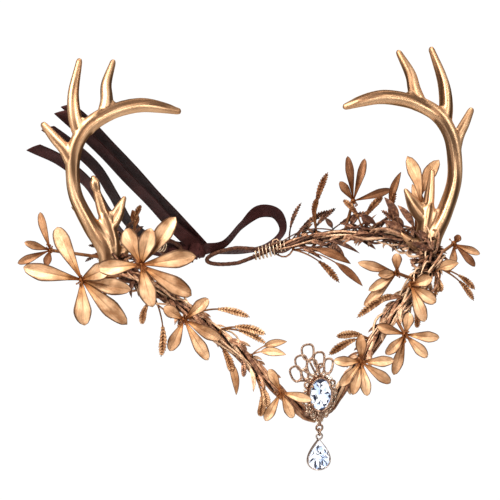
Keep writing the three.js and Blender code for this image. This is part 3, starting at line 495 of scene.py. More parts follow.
def smooth_line(rows, steps_each):
    """Centripetal curve through rows; any columns after the first three are carried along."""
    rows = np.asarray(rows, float)
    rows = np.vstack([2 * rows[0] - rows[1], rows, 2 * rows[-1] - rows[-2]])
    result = []
    for index in range(1, len(rows) - 2):
        four = rows[index - 1:index + 3]
        knots = [0.0]
        for a, b in zip(four[:-1], four[1:]):
            knots.append(knots[-1] + max(np.linalg.norm((b - a)[:3]), 1e-6) ** 0.5)
        for step in range(steps_each):
            at = knots[1] + (knots[2] - knots[1]) * step / steps_each
            first = [blend(four[i], four[i + 1], knots[i], knots[i + 1], at) for i in range(3)]
            second = [blend(first[i], first[i + 1], knots[i], knots[i + 2], at) for i in range(2)]
            result.append(blend(second[0], second[1], knots[1], knots[2], at))
    result.append(rows[-2])
    return np.array(result)


def blend(a, b, start, end, at):
    return a + (b - a) * (at - start) / (end - start)


def travelled(line):
    """The way gone at each point of a line."""
    return np.concatenate([[0], np.cumsum(np.linalg.norm(np.diff(line[:, :3], axis=0), axis=1))])


def even_line(line, count):
    lengths = travelled(line)
    at = np.linspace(0, lengths[-1], count)
    return np.stack([np.interp(at, lengths, column) for column in line.T], axis=1)


def tangents_of(line):
    return units(np.gradient(line[:, :3], axis=0))


def carried_frames(line, closed=False):
    """Normals carried along a line without twist."""
    ways = tangents_of(line)
    if closed:
        ways = units(np.roll(line, -1, axis=0) - np.roll(line, 1, axis=0))
    normals = [square_to(SLANTED, ways[0])]
    for way in ways[1:]:
        normals.append(square_to(normals[-1], way))
    return ways, np.array(normals), np.cross(ways, normals)


# Mesh building: points with how far along and across they lie and a tint of their own
def show(name, data):
    """Puts data in the scene as an object."""
    made = bpy.data.objects.new(name, data)
    bpy.context.scene.collection.objects.link(made)
    return made


def complete(mesh, marks):
    """Writes the marks that the paints read, and shades the mesh smooth."""
    for name, values in zip(("along", "across", "tint"), marks):
        layer = mesh.attributes.new(name, "FLOAT", "POINT")
        layer.data.foreach_set("value", values.astype(np.float32))
    mesh.polygons.foreach_set("use_smooth", [True] * len(mesh.polygons))
    mesh.validate()
    mesh.update()


def two_sided(middle, half_thickness):
    """The section round a thin strip: its front row, and its back row in return."""
    return np.vstack([middle + half_thickness, (middle - half_thickness)[::-1]])


def there_and_back(places, rows):
    return np.tile(np.concatenate([places, places[::-1]]), rows)


class Builder:
    def __init__(self):
        self.points = []
        self.marks = []
        self.faces = []
        self.count = 0

    def add(self, points, faces, along, across, tint):
        points = np.asarray(points, float).reshape(-1, 3)
        self.points.append(points)
        self.marks.append([np.broadcast_to(value, len(points)) for value in (along, across, tint)])
        self.faces.extend([tuple(int(i) + self.count for i in face) for face in faces])
        self.count += len(points)

    def skin(self, sections, along=0.5, across=0.0, tint=0.5, open_strip=False, line_closed=False):
        """Skins a row of sections, each the same number of points round."""
        sections = np.asarray(sections, float)
        rows, columns = sections.shape[:2]
        faces = []
        for row in range(rows if line_closed else rows - 1):
            following = (row + 1) % rows
            for column in range(columns - 1 if open_strip else columns):
                beside = (column + 1) % columns
                faces.append((row * columns + column, row * columns + beside,
                              following * columns + beside, following * columns + column))
        if not open_strip and not line_closed:
            faces.append(tuple(range(columns - 1, -1, -1)))
            faces.append(tuple(range((rows - 1) * columns, rows * columns)))
        self.add(sections, faces, along, across, tint)

    def tube(self, line, radius, sides=8, tint=0.5, along=0.5, closed=False):
        radii = np.broadcast_to(radius, len(line))
        normals, beside = carried_frames(line, closed)[1:]
        angles = full_turn(sides)
        sections = []
        for index, point in enumerate(line[:, :3]):
            ring = np.outer(np.cos(angles), normals[index]) + np.outer(np.sin(angles), beside[index])
            sections.append(point + ring * radii[index])
        self.skin(sections, along=along, tint=tint, line_closed=closed)

    def ball(self, centre, radius, rows=6, columns=8, tint=0.5, along=0.5):
        angles = full_turn(columns)
        sections = []
        for height in np.linspace(-math.pi / 2, math.pi / 2, rows):
            spread = max(math.cos(height), 0.04)
            level = np.full(columns, math.sin(height))
            ring = np.stack([np.cos(angles) * spread, np.sin(angles) * spread, level], axis=1)
            sections.append(centre + ring * radius)
        self.skin(sections, along=along, tint=tint)

    def make(self, name):
        mesh = bpy.data.meshes.new(name)
        points = np.concatenate(self.points) * MM
        mesh.from_pydata([tuple(p) for p in points], [], self.faces)
        complete(mesh, np.concatenate(self.marks, axis=1))
        return show(name, mesh)

    def piece(self, name, material, body="crown"):
        return dress(self.make("visual_" + name), name, material, body)


def dress(made, node, material, body="crown"):
    """Puts an object in the place of the node that it dresses."""
    made.data.materials.clear()
    made.data.materials.append(material)
    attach(made, body)
    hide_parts(node)
    return made


# Materials
def put(tree, node, values):
    """Links or sets a node's sockets; a tone of three gets its alpha."""
    for name, value in values.items():
        if hasattr(value, "is_output"):
            tree.links.new(value, node.inputs[name])
        else:
            node.inputs[name].default_value = (*value, 1.0) if isinstance(value, tuple) else value


def new_material(name, metallic, roughness, **looks):
    """A plain material; looks are further sockets of its shader, with _ for a space."""
    material = bpy.data.materials.new(name)
    material.use_nodes = True
    tree = material.node_tree
    shader = tree.nodes["Principled BSDF"]
    put(tree, shader, {"Metallic": metallic, "Roughness": roughness})
    put(tree, shader, {socket.replace("_", " "): value for socket, value in looks.items()})
    return material, tree, shader


def add_node(tree, kind, settings=None, values=None):
    made = tree.nodes.new(kind)
    for name, value in (settings or {}).items():
        setattr(made, name, value)
    put(tree, made, values or {})
    return made


def mark(tree, name):
    return add_node(tree, "ShaderNodeAttribute", {"attribute_name": name}).outputs["Fac"]


def math_node(tree, operation, first, second=0.0):
    return add_node(tree, "ShaderNodeMath", {"operation": operation}, {0: first, 1: second}).outputs[0]


def times(tree, first, second):
    return math_node(tree, "MULTIPLY", first, second)


def band(tree, value, low, high, first=0.0, last=1.0):
    """One value below low, another above high, smooth between."""
    return add_node(tree, "ShaderNodeMapRange", {"interpolation_type": "SMOOTHSTEP"},
                    {"Value": value, "From Min": low, "From Max": high, "To Min": first,
                     "To Max": last}).outputs[0]


def ramp(tree, value, stops):
    made = add_node(tree, "ShaderNodeValToRGB", values={"Fac": value})
    elements = made.color_ramp.elements
    while len(elements) < len(stops):
        elements.new(0.5)
    for element, (place, tone) in zip(elements, stops):
        element.position = place
        element.color = (*tone, 1.0)
    return made.outputs["Color"]


def mix(tree, share, first, second, way="MIX"):
    made = add_node(tree, "ShaderNodeMix", {"data_type": "RGBA", "blend_type": way})
    sockets = [index for index, socket in enumerate(made.inputs) if socket.enabled]
    put(tree, made, dict(zip(sockets, (share, first, second))))
    return [socket for socket in made.outputs if socket.enabled][0]


def laid_over(tree, base, where, most, tone):
    """A tone laid over the base, by a share at most, where a value is 1."""
    return mix(tree, times(tree, where, most), base, tone)


def noise(tree, scale, detail):
    place = add_node(tree, "ShaderNodeTexCoord").outputs["Object"]
    values = {"Vector": place, "Scale": scale, "Detail": detail}
    return add_node(tree, "ShaderNodeTexNoise", values=values).outputs[0]


def bump(tree, shader, height, distance):
    made = add_node(tree, "ShaderNodeBump", values={"Height": height, "Distance": distance})
    put(tree, shader, {"Normal": made.outputs[0]})


def painted_crevice_shade(tree, tone, dark):
    """Painted shade: darker where other pieces lie close, between the stems and behind the leaves."""
    near = add_node(tree, "ShaderNodeAmbientOcclusion", {"samples": 8}, {"Distance": CREVICE_SHADE_REACH * MM})
    shut = band(tree, near.outputs["AO"], CREVICE_SHADE_OPEN, CREVICE_SHADE_SHUT)
    return laid_over(tree, tone, shut, CREVICE_SHADE_SHARE, dark)


def antler_material():
    """Gold paint over a cast antler, with painted shade in the creases and hollows, and darker toward the foot.
    """
    material, tree, shader = new_material("gilt_antler", 0.88, 0.34, Specular_Tint=(0.75, 0.55, 0.35))
    base = ramp(tree, noise(tree, 60, 4.0), [(0.3, (0.64, 0.365, 0.190)), (0.7, (0.90, 0.570, 0.330))])
    base = laid_over(tree, base, mark(tree, "tint"), 0.5, (0.36, 0.150, 0.060))
    # Painted shade in the creases and in the inner hollow, read from the along mark.
    base = laid_over(tree, base, band(tree, mark(tree, "along"), 0.2, 0.9), 0.86, (0.095, 0.038, 0.016))
    # Darker toward the foot, read from the across mark.
    base = laid_over(tree, base, band(tree, mark(tree, "across"), 1.0, 0.0), 0.5, (0.15, 0.065, 0.026))
    rough = add_node(tree, "ShaderNodeMapRange",
                     values={"Value": noise(tree, 120, 2.0), "To Min": 0.34, "To Max": 0.50})
    put(tree, shader, {"Base Color": base, "Roughness": rough.outputs[0]})
    bump(tree, shader, noise(tree, 200, 1.0), 0.00004)
    return material


def leaf_material(name, tones):
    """Painted cloth leaf: tones from the stalk to the tip, a dark rim, a middle vein and fine side veins."""
    material, tree, shader = new_material(name, 0.22, 0.42, Specular_IOR_Level=0.25,
                                          Specular_Tint=(0.8, 0.6, 0.4))
    along = mark(tree, "along")
    apart = math_node(tree, "ABSOLUTE", mark(tree, "across"))
    base = ramp(tree, along, list(zip(TONE_PLACES, tones)))
    shade = ramp(tree, mark(tree, "tint"), [
        (0.0, (0.13, 0.075, 0.06)), (0.25, (0.30, 0.20, 0.16)), (0.5, (0.62, 0.52, 0.45)),
        (0.8, (0.97, 0.95, 0.92)), (1.0, (1.12, 1.12, 1.10))])
    base = mix(tree, 1.0, base, shade, "MULTIPLY")
    slanted = math_node(tree, "SUBTRACT", times(tree, apart, 22.0), times(tree, along, 30.0))
    veins = math_node(tree, "SINE", slanted)
    middle = times(tree, band(tree, apart, 0.18, 0.02), band(tree, along, 1.0, 0.3))
    side_veins = times(tree, band(tree, veins, 0.5, 1.0), 0.16)
    all_veins = math_node(tree, "MAXIMUM", side_veins, times(tree, middle, 0.75))
    base = mix(tree, all_veins, base, (0.20, 0.085, 0.032))
    base = laid_over(tree, base, band(tree, apart, 0.72, 0.92), 0.92, (0.065, 0.024, 0.013))
    cloud = ramp(tree, noise(tree, 120, 4.0), [(0.34, (0.52, 0.42, 0.34)), (0.60, (1.12, 1.12, 1.10))])
    # Painted shade where other pieces lie close, behind and between the leaves.
    base = painted_crevice_shade(tree, mix(tree, 1.0, base, cloud, "MULTIPLY"), (0.190, 0.050, 0.012))
    put(tree, shader, {"Base Color": base})
    bump(tree, shader, math_node(tree, "ADD", times(tree, veins, 0.15), noise(tree, 1600, 2.0)), 0.00010)
    return material


def stem_material():
    material, tree, shader = new_material("vine", 0.25, 0.40, Specular_Tint=(0.8, 0.6, 0.45))
    tones = [(0.0, (0.022, 0.008, 0.006)), (0.35, (0.120, 0.046, 0.027)), (0.7, (0.44, 0.205, 0.108)),
             (1.0, (0.86, 0.545, 0.330))]
    streak = times(tree, math_node(tree, "SUBTRACT", noise(tree, 420, 4.0), 0.52), 1.3)
    base = ramp(tree, math_node(tree, "ADD", mark(tree, "tint"), streak), tones)
    # Painted shade where other pieces lie close, in the gaps between the stems.
    put(tree, shader, {"Base Color": painted_crevice_shade(tree, base, (0.020, 0.007, 0.005))})
    bump(tree, shader, noise(tree, 1500, 3.0), 0.00018)
    return material


def tape_material():
    material, tree, shader = new_material("tape", 0.0, 0.40, Specular_IOR_Level=0.3,
                                          Specular_Tint=(0.70, 0.42, 0.28))
    tones = [(0.3, (0.030, 0.011, 0.008)), (0.7, (0.130, 0.052, 0.030))]
    put(tree, shader, {"Base Color": ramp(tree, noise(tree, 500, 3.0), tones)})
    bump(tree, shader, noise(tree, 2400, 3.0), 0.00012)
    return material


def wire_material(name, dark, light, roughness):
    """Antiqued gold, with bright beads where the tint is full."""
    material, tree, shader = new_material(name, 0.85, roughness, Specular_Tint=(0.7, 0.5, 0.4))
    base = ramp(tree, noise(tree, 600, 3.0), [(0.3, dark), (0.7, light)])
    base = mix(tree, band(tree, mark(tree, "tint"), 0.5, 1.0), base, (0.96, 0.84, 0.68))
    put(tree, shader, {"Base Color": base})
    return material


def satin_material():
    """Brown satin: a fine weave along the strip and a darker woven edge."""
    material, tree, shader = new_material("satin", 0.0, 0.34, Specular_IOR_Level=0.06,
                                          Specular_Tint=(0.60, 0.25, 0.21), Sheen_Weight=0.01,
                                          Sheen_Tint=(0.55, 0.36, 0.32))
    across = mark(tree, "across")
    tones = [(0.35, (0.042, 0.0130, 0.0118)), (0.65, (0.084, 0.0290, 0.0265))]
    cloth = ramp(tree, noise(tree, 90, 2.0), tones)
    hem = band(tree, math_node(tree, "ABSOLUTE", across), 0.84, 0.92)
    put(tree, shader, {"Base Color": laid_over(tree, cloth, hem, 0.7, (0.018, 0.006, 0.006))})
    bump(tree, shader, math_node(tree, "SINE", times(tree, across, 130.0)), 0.00002)
    return material


def crystal_materials():
    glass = new_material("crystal", 0.0, 0.0, Base_Color=(0.96, 0.98, 1.0), Transmission_Weight=1.0, IOR=1.6)
    # The foils are painted reflections, white, blue and dark, and glow as painted light.
    foils = [new_material(name, 0.3, 0.15, Base_Color=tone, Emission_Color=tone, Emission_Strength=FOIL_PAINTED_GLOW)
             for name, tone in FOIL_REFLECTION_TONES.items()]
    return glass[0], [foil[0] for foil in foils]


ANTLER_GILT = antler_material()
PETAL_GILT = leaf_material("gilt_petal", PETAL_TONES)
SPRIG_GILT = leaf_material("gilt_sprig", SPRIG_TONES)
STEM_BRONZE = stem_material()
TAPE = tape_material()
COIL_GOLD = wire_material("coil_gold", (0.60, 0.40, 0.25), (0.86, 0.66, 0.46), 0.35)
JEWEL_GOLD = wire_material("jewel_gold", (0.19, 0.082, 0.048), (0.68, 0.47, 0.33), 0.24)
DROP_GOLD = wire_material("drop_gold", (0.24, 0.160, 0.125), (0.80, 0.68, 0.60), 0.22)
SATIN = satin_material()
CRYSTAL_GLASS, CRYSTAL_FOIL_REFLECTIONS = crystal_materials()


# Antlers: limbs joined into one skin, then creased along each limb
def antler_place(side, row):
    out, back, up, radius = row
    height = up * (1 + ANTLER_STRETCH * side) - ANTLER_LIFT * side
    return (side * (ANTLER_HALF_SPACING + out) + ANTLER_ASIDE, back, height, radius)


def domed(line):
    """Rounds off the last point of a limb over its own radius."""
    way = unit(line[-1, :3] - line[-2, :3])
    radius = line[-1, 3]
    rows = [line]
    for turn in np.linspace(0.25, 1.0, 5) * math.pi / 2:
        place = line[-1, :3] + way * radius * math.sin(turn)
        rows.append(np.append(place, max(radius * math.cos(turn), 0.12))[None])
    return np.vstack(rows)


def limb_hollow(side, order, height):
    """The way a limb's hollow faces: inward, and upward along the end of the beam."""
    upward = 0.0
    if order == 0:
        upward = part_way(height, *HOLLOW_TURNS)
    return unit(RIGHT * -side * (1 - upward) + UP * upward + FORWARD * HOLLOW_LEAN)


def soften(made, rounds):
    smooth = made.modifiers.new("soften", "SMOOTH")
    smooth.factor = SMOOTHING_FACTOR
    smooth.iterations = rounds


def antler(side, name):
    rough = Builder()
    samples = []
    limbs = list(ANTLER_LIMBS.values()) + ([LEFT_BUD] if side < 0 else [])
    for order, rows in enumerate(limbs):
        line = domed(smooth_line([antler_place(side, row) for row in rows], ANTLER_STEPS))
        rough.tube(line, line[:, 3], ANTLER_SIDES)
        ways, normals, beside = carried_frames(line)
        hidden = ANTLER_STEPS // 2 if order else 0
        hollow_way = np.array([limb_hollow(side, order, height) for height in line[:, 2]])
        strides = np.linalg.norm(np.gradient(line[:, :3], axis=0), axis=1)
        slope = np.gradient(line[:, 3]) / np.maximum(strides, 0.01)
        samples.append(np.hstack([line, normals, beside, hollow_way, ways, slope[:, None]])[hidden:])
    skin = rough.make(name + "_limbs")
    remesh = skin.modifiers.new("one skin", "REMESH")
    remesh.mode = "VOXEL"
    remesh.voxel_size = ANTLER_VOXEL
    soften(skin, SMOOTHING_ROUNDS)
    mesh = bpy.data.meshes.new_from_object(skin.evaluated_get(bpy.context.evaluated_depsgraph_get()))
    bpy.data.objects.remove(skin)
    mesh.name = name
    crease_skin(mesh, np.vstack(samples))
    made = show("visual_" + name, mesh)
    soften(made, EVENING_ROUNDS)
    dress(made, name, ANTLER_GILT)


def vertex_values(mesh, name):
    values = np.empty(len(mesh.vertices) * 3)
    mesh.vertices.foreach_get(name, values)
    return values.reshape(-1, 3)


def crease_skin(mesh, samples):
    """Creases that run along the nearest limb, and marks for the painted shade that lies in them."""
    count = len(mesh.vertices)
    points = vertex_values(mesh, "co") / MM
    normals = vertex_values(mesh, "normal")
    nearest = np.empty(count, int)
    for start in range(0, count, NEAREST_BATCH):
        part = points[start:start + NEAREST_BATCH]
        apart = np.linalg.norm(part[:, None, :] - samples[None, :, :3], axis=2)
        nearest[start:start + NEAREST_BATCH] = np.argmin(apart - samples[:, SAMPLE_RADIUS], axis=1)
    limb = samples[nearest]
    from_line = points - limb[:, :3]
    ahead = np.sum(from_line * limb[:, SAMPLE_WAY], axis=1)
    from_axis = np.linalg.norm(from_line - limb[:, SAMPLE_WAY] * ahead[:, None], axis=1)
    radius = limb[:, SAMPLE_RADIUS] + limb[:, SAMPLE_SLOPE] * ahead
    points += normals * np.clip(radius - from_axis, 0, SMOOTHING_LOSS)[:, None]
    turn = np.arctan2(np.sum(from_line * limb[:, SAMPLE_BESIDE], axis=1),
                      np.sum(from_line * limb[:, SAMPLE_NORMAL], axis=1))
    sway = sum(amount * np.sin(points[:, axis] * rate) for amount, axis, rate in CREASE_SWAY)
    crease = np.zeros(count)
    for place in CREASES:
        apart = np.angle(np.exp(1j * (turn - place - sway)))
        crease = np.maximum(crease, np.exp(-(apart / CREASE_WIDTH) ** 2))
    thick = part_way(radius, CREASE_FROM, CREASE_FULL)
    hollow = part_way(np.sum(normals * limb[:, SAMPLE_HOLLOW], axis=1), HOLLOW_FROM, HOLLOW_FULL)
    points -= normals * ((crease * CREASE_DEPTH + hollow * HOLLOW_DEPTH) * thick)[:, None]
    mesh.vertices.foreach_set("co", (points * MM).reshape(-1))
    foot = part_way(points[:, 2], FOOT_LOW, FOOT_HIGH)
    slim = part_way(radius, SLIM_FROM, SLIM_TO)
    # Marks: painted shade in the creases and hollows, nearness to the foot, and how slim the limb is.
    complete(mesh, (np.maximum(crease, hollow) * thick, foot, slim))


# Petals and leaves: thin closed skins, cupped, waved at the edge and grooved in the middle
def bowed(root, tip, face, shares, arch, droop, curl=0.0):
    """A leaf's centre line, arched toward its face and drooping at the tip, and the way that it faces."""
    straight = unit(tip - root)
    reach = np.linalg.norm(tip - root)
    lift = square_to(face, straight)
    side = np.cross(straight, lift)
    upper_side = side * math.copysign(1.0, np.dot(side, RISE))
    bow = 4 * shares * (1 - shares)
    line = root + np.outer(shares * reach, straight)
    line = line + np.outer((arch * bow - curl * shares ** 3) * reach, lift)
    return line + np.outer(droop * bow * reach, upper_side), lift


def blade(built, root, tip, width, shape, face=TOWARD, arch=0.1, tint=0.5, rows=13, columns=7,
          cup=LEAF_CUP, wave=0.0, twist=0.0, curl=0.0, droop=0.0):
    shares = np.linspace(0, 1, rows)
    centre, lift = bowed(root, tip, face, shares, arch, droop, curl)
    places = np.linspace(-1, 1, columns)
    sections = []
    for share, middle, way in zip(shares, centre, tangents_of(centre)):
        straight_on = square_to(lift, way)
        level = np.cross(way, straight_on)
        normal = turned(straight_on, level, twist * share)
        side = turned(level, -straight_on, twist * share)
        half = max(shape(share), LEAST_WIDTH) * width / 2
        forward = cup * places ** 2 - GROOVE_DEPTH * np.exp(-(places / GROOVE_WIDTH) ** 2)
        ripple = np.sin(share * WAVES_ALONG + places * WAVES_ACROSS + tint * WAVES_BY_TINT)
        forward = forward + wave * np.abs(places) * ripple
        thick = LEAF_THICKNESS / 2 * (1 - LEAF_THINNING * np.abs(places))
        middle = middle + half * (np.outer(places, side) + np.outer(forward, normal))
        sections.append(two_sided(middle, np.outer(thick, normal)))
    built.skin(sections, np.repeat(shares, 2 * columns), there_and_back(places, rows), tint)


def petal_shape(share):
    return min(1.0, 0.12 + 1.5 * share ** 1.3) * max(0.0, 1 - share ** 4) ** 0.6


def leaf_shape(share):
    return 0.03 + 0.98 * math.sin(math.pi * share ** 0.9) ** 0.8


def stalked(stalk, shape=leaf_shape):
    """A leaf shape that starts after a bare stalk."""
    def stalk_and_leaf(share):
        if share < stalk:
            return STALK_WIDTH
        return max(STALK_WIDTH * (1 - share), shape((share - stalk) / (1 - stalk)))
    return stalk_and_leaf


def near_tone(tone, spread):
    return min(1.0, max(0.0, tone + drawn(-spread / 2, spread / 2)))


def flower(name, hub, foot, width, tone, petals):
    built = Builder()
    hub = np.array(hub)
    stem_foot = ring_point(foot)
    elbow = stem_foot + (hub - stem_foot) * STEM_ELBOW_SHARE - TOWARD * STEM_ELBOW_BACK
    built.tube(smooth_line([stem_foot, elbow, hub - TOWARD * STEM_STOP], 8), STEM_RADIUS, 8, tint=0.25)
    for order, (angle, reach, lean) in enumerate(petals):
        way = picture_way(angle, reach, lean)
        depth = TOWARD * PETAL_LAYER * (order % 3 - 1)
        blade(built, hub + unit(way) + depth, hub + way, width, petal_shape, arch=PETAL_ARCH,
              tint=near_tone(tone, PETAL_TONE_SPREAD), rows=17, columns=11, cup=drawn(*PETAL_CUP),
              wave=PETAL_WAVE, twist=drawn(-PETAL_TWIST, PETAL_TWIST), curl=drawn(*PETAL_CURL))
    built.ball(hub - TOWARD * HUB_SET_BACK, HUB_RADIUS, tint=0.7, along=0.02)
    for _ in range(STAMENS):
        spread = picture_way(drawn(0, 360), drawn(*STAMEN_SPREAD), 0)
        out = unit(spread + TOWARD * STAMEN_RISE) * drawn(*STAMEN_REACH)
        line = smooth_line([hub, hub + out * 0.5 + spread * 0.05, hub + out], 4)
        built.tube(line, STAMEN_RADIUS, 6, tint=0.8, along=0.08)
        built.ball(line[-1], ANTHER_RADIUS, 5, 7, tint=0.5, along=0.02)
    built.piece("flower_" + name, PETAL_GILT)


def sprig_root(foot, blades):
    towards = sum(picture_way(angle, reach, lean) for angle, reach, lean, *_ in blades)
    away = square_to(towards, ring_frame(foot)[0])
    return ring_point(foot) + away * (VINE_RADIUS + SPRIG_FOOT_LIFT), away


def toothed_blade(built, root, tip, width, stalk, teeth, tone):
    """An ear on a slim stalk: a narrow leaf with pointed teeth in pairs, and a drooping tip."""
    shares = np.linspace(0, 1, EAR_STEPS)
    line, lift = bowed(root, tip, TOWARD, shares, BLADE_ARCH, EAR_DROOP)
    ways = tangents_of(line)
    built.tube(line, np.linspace(*STALK_RADII, EAR_STEPS), 6, tint=tone * 0.6, along=0.3)
    stalk = max(stalk, EAR_LEAST_STALK)
    blade(built, root, tip, width * EAR_BODY, stalked(stalk), arch=BLADE_ARCH, tint=tone, rows=20,
          cup=EAR_CUP, droop=EAR_DROOP)
    for order in range(teeth):
        ear_share = (order + 0.5) / teeth
        place = stalk + (EAR_END - stalk) * ear_share
        start = np.array([np.interp(place, shares, line[:, axis]) for axis in range(3)])
        ahead = ways[int(round(place * (EAR_STEPS - 1)))]
        side = unit(np.cross(ahead, lift))
        size = math.sin(math.pi * (0.08 + 0.84 * ear_share)) ** 0.9
        for hand in (-1, 1):
            way = unit(ahead + side * hand * TOOTH_SPREAD + lift * drawn(*TOOTH_LIFT))
            blade(built, start, start + way * width * TOOTH_LENGTH * size, width * TOOTH_WIDTH, leaf_shape,
                  face=lift, tint=near_tone(tone, 0.5), rows=6, columns=5)


def sprig(name, foot, tone, blades):
    built = Builder()
    root, away = sprig_root(foot, blades)
    line = smooth_line([ring_point(foot), root - away * STEM_STOP, root], 4)
    built.tube(line, STEM_RADIUS, 8, tint=tone * 0.4)
    for angle, reach, lean, width, stalk, teeth in blades:
        tip = root + picture_way(angle, reach, lean)
        if teeth > 0:
            toothed_blade(built, root, tip, width, stalk, teeth, tone)
        else:
            shape = stalked(stalk, petal_shape if teeth == ROUND else leaf_shape)
            blade(built, root, tip, width, shape, arch=BLADE_ARCH, tint=near_tone(tone, 0.2), rows=20,
                  columns=9, wave=LEAF_WAVE, twist=drawn(-LEAF_TWIST, LEAF_TWIST), droop=LEAF_DROOP)
    built.piece("sprig_" + name, SPRIG_GILT)


# Vine: a twisted bundle of thin stems, with loose stems, needles and twigs that arch off it
def ring_line(start, end, step=VINE_STEP):
    angles = np.linspace(start, end, max(4, int(abs(end - start) / step)))
    line = np.array([np.mean([ring_point(a + d) for d in RING_EASING], axis=0) for a in angles])
    return angles, line


def off_ring(angles, line, away, height):
    """Points beside the ring line, by an outward and an upward distance."""
    turns = np.radians(angles)
    outward = np.stack([np.sin(turns), -np.cos(turns), np.zeros(len(turns))], axis=1)
    ways = tangents_of(line)
    outward = units(outward - ways * np.sum(outward * ways, axis=1, keepdims=True))
    upward = np.cross(outward, ways)
    upward = upward * np.sign(upward[:, 2:3] + 1e-9)
    return line + outward * np.reshape(away, (-1, 1)) + upward * np.reshape(height, (-1, 1))


def front_pale(angles):
    """How much paler the vine is toward the front."""
    return FRONT_PALE * part_way(np.abs(angles), FRONT_REACH, FRONT_FULL)


def stem_bundle(built, span):
    angles, line = ring_line(*span)
    gone = travelled(line)
    for phase in full_turn(STEMS_EACH):
        orbit = drawn(*STEM_ORBITS) + ORBIT_SWAY * np.sin(gone * ORBIT_SWAY_RATE + phase * 3)
        turn = phase + gone * STEM_TWIST + TWIST_SWAY * np.sin(gone * TWIST_SWAY_RATE + phase * 2)
        path = off_ring(angles, line, orbit * np.cos(turn), orbit * np.sin(turn))
        tint = drawn(*STEM_TINTS) + front_pale(angles)
        built.tube(path, drawn(*STEM_RADII), STEM_SIDES, tint=np.repeat(tint, STEM_SIDES))
    # The core between the stems is painted near black: painted shade in the gaps between them.
    built.tube(line, CORE_RADIUS, 8, tint=0.05)


def loose_stem(built, span, start, end, least, most):
    first = drawn(start, end)
    last = first + math.copysign(drawn(*LOOSE_SPAN), span[1])
    last = min(max(last, min(span)), max(span))
    angles, line = ring_line(first, last, LOOSE_STEP)
    arch = np.sin(np.linspace(0, math.pi, len(angles))) * drawn(least, most)
    away = drawn(0, LOOSE_START) + arch
    way = drawn(0, 2 * math.pi)
    path = off_ring(angles, line, away * math.cos(way), away * math.sin(way))
    tint = drawn(*LOOSE_TINTS) + front_pale(angles)
    built.tube(path, drawn(*LOOSE_RADII), LOOSE_SIDES, tint=np.repeat(tint, LOOSE_SIDES))


def needle(built, start, end):
    place = drawn(start, end)
    tangent, outward, upward = ring_frame(place)
    radial = turned(outward, upward, drawn(0, 2 * math.pi))
    root = ring_point(place) + radial * NEEDLE_ROOT
    side = -place if abs(place) < FRONT_REACH else rng.random() - NEEDLES_BACKWARD
    lean = math.copysign(drawn(*NEEDLE_LEAN), side)
    tip = root + unit(radial + tangent * lean) * drawn(*NEEDLE_REACH)
    tint = drawn(*NEEDLE_TINTS) + front_pale(place)
    blade(built, root, tip, drawn(*NEEDLE_WIDTH), leaf_shape, tint=tint, rows=8, columns=5, droop=LEAF_DROOP)


def vine(name, span):
    built = Builder()
    stem_bundle(built, span)
    for start, end, number, least, most in LOOSE_STEMS[name]:
        for _ in range(number):
            loose_stem(built, span, start, end, least, most)
    for start, end, number in NEEDLES[name]:
        for _ in range(number):
            needle(built, start, end)
    for foot, angle, reach, lean, width, teeth, tone in TWIGS[name]:
        root = ring_point(foot)
        tip = root + picture_way(angle, reach, lean)
        if teeth:
            toothed_blade(built, root, tip, width, TWIG_STALK, teeth, tone)
        else:
            blade(built, root, tip, width, stalked(TWIG_LEAF_STALK), tint=tone, rows=14, wave=LEAF_WAVE,
                  droop=LEAF_DROOP)
    built.piece(name, STEM_BRONZE)


def end_loop(side, start, end):
    near = ring_point(start)
    length = np.linalg.norm(ring_point(end) - near)
    along = unit(ring_point(end) - near)
    high = square_to(UP, along)
    turns = full_turn(LOOP_STEPS)
    shares = (1 - np.cos(turns)) / 2
    half = LOOP_PINCH + (LOOP_HALF_HEIGHT - LOOP_PINCH) * np.minimum(1, shares * 2)
    line = near + np.outer(length * shares, along) + np.outer(half * np.sin(turns), high)
    ridges = TAPE_LOW + TAPE_STEP * ((turns * TAPE_RIDGES / (2 * math.pi)) % 1.0)
    built = Builder()
    built.tube(line, LOOP_WIRE_RADIUS * ridges, 12, closed=True)
    built.piece("end_loop_" + side, TAPE)


def binding(side, start, end):
    spread = math.copysign(COIL_SPREAD, end)
    angles, line = ring_line(start - spread, end + spread, abs(end - start) / (COIL_TURNS * COIL_STEPS))
    turn = np.linspace(0, 2 * math.pi * COIL_TURNS, len(line))
    swell = COIL_RADIUS * (1 - COIL_TAPER * np.linspace(-1, 1, len(line)) ** 4)
    built = Builder()
    path = off_ring(angles, line, swell * np.cos(turn), swell * np.sin(turn))
    built.tube(path, COIL_WIRE_RADIUS, 8)
    built.piece("binding_" + side, COIL_GOLD)


# Ribbon: flat strips of satin, their free ends cut on a slant
def strip(built, line, turns, width, slant):
    places = np.linspace(-1, 1, RIBBON_COLUMNS)
    sections = []
    for index, (point, way, turn) in enumerate(zip(line, tangents_of(line), turns)):
        level = unit(np.cross(TOWARD, way))
        square = np.cross(way, level)
        side = turned(level, square, math.radians(turn))
        face = turned(square, -level, math.radians(turn))
        cut = slant * width * part_way(index / (len(line) - 1), TAIL_CUT, 1)
        curl = RIBBON_CURL * width * places ** 2
        middle = point + np.outer(places * width / 2, side) + np.outer(curl, face)
        middle = middle + np.outer(places * cut, way)
        sections.append(two_sided(middle, face * RIBBON_THICKNESS / 2))
    built.skin(sections, across=there_and_back(places, len(line)))


def ribbon(name, rows):
    line = smooth_line(rows, RIBBON_STEPS)
    length = float(travelled(line)[-1])
    line = even_line(line, max(RIBBON_LEAST_ROWS, int(length * RIBBON_ROWS_PER_MM)))
    built = Builder()
    strip(built, line[:, :3], line[:, 3], RIBBON_WIDTH, TAIL_SLANT if "tail" in name else 0.0)
    return built.piece(name, SATIN), length


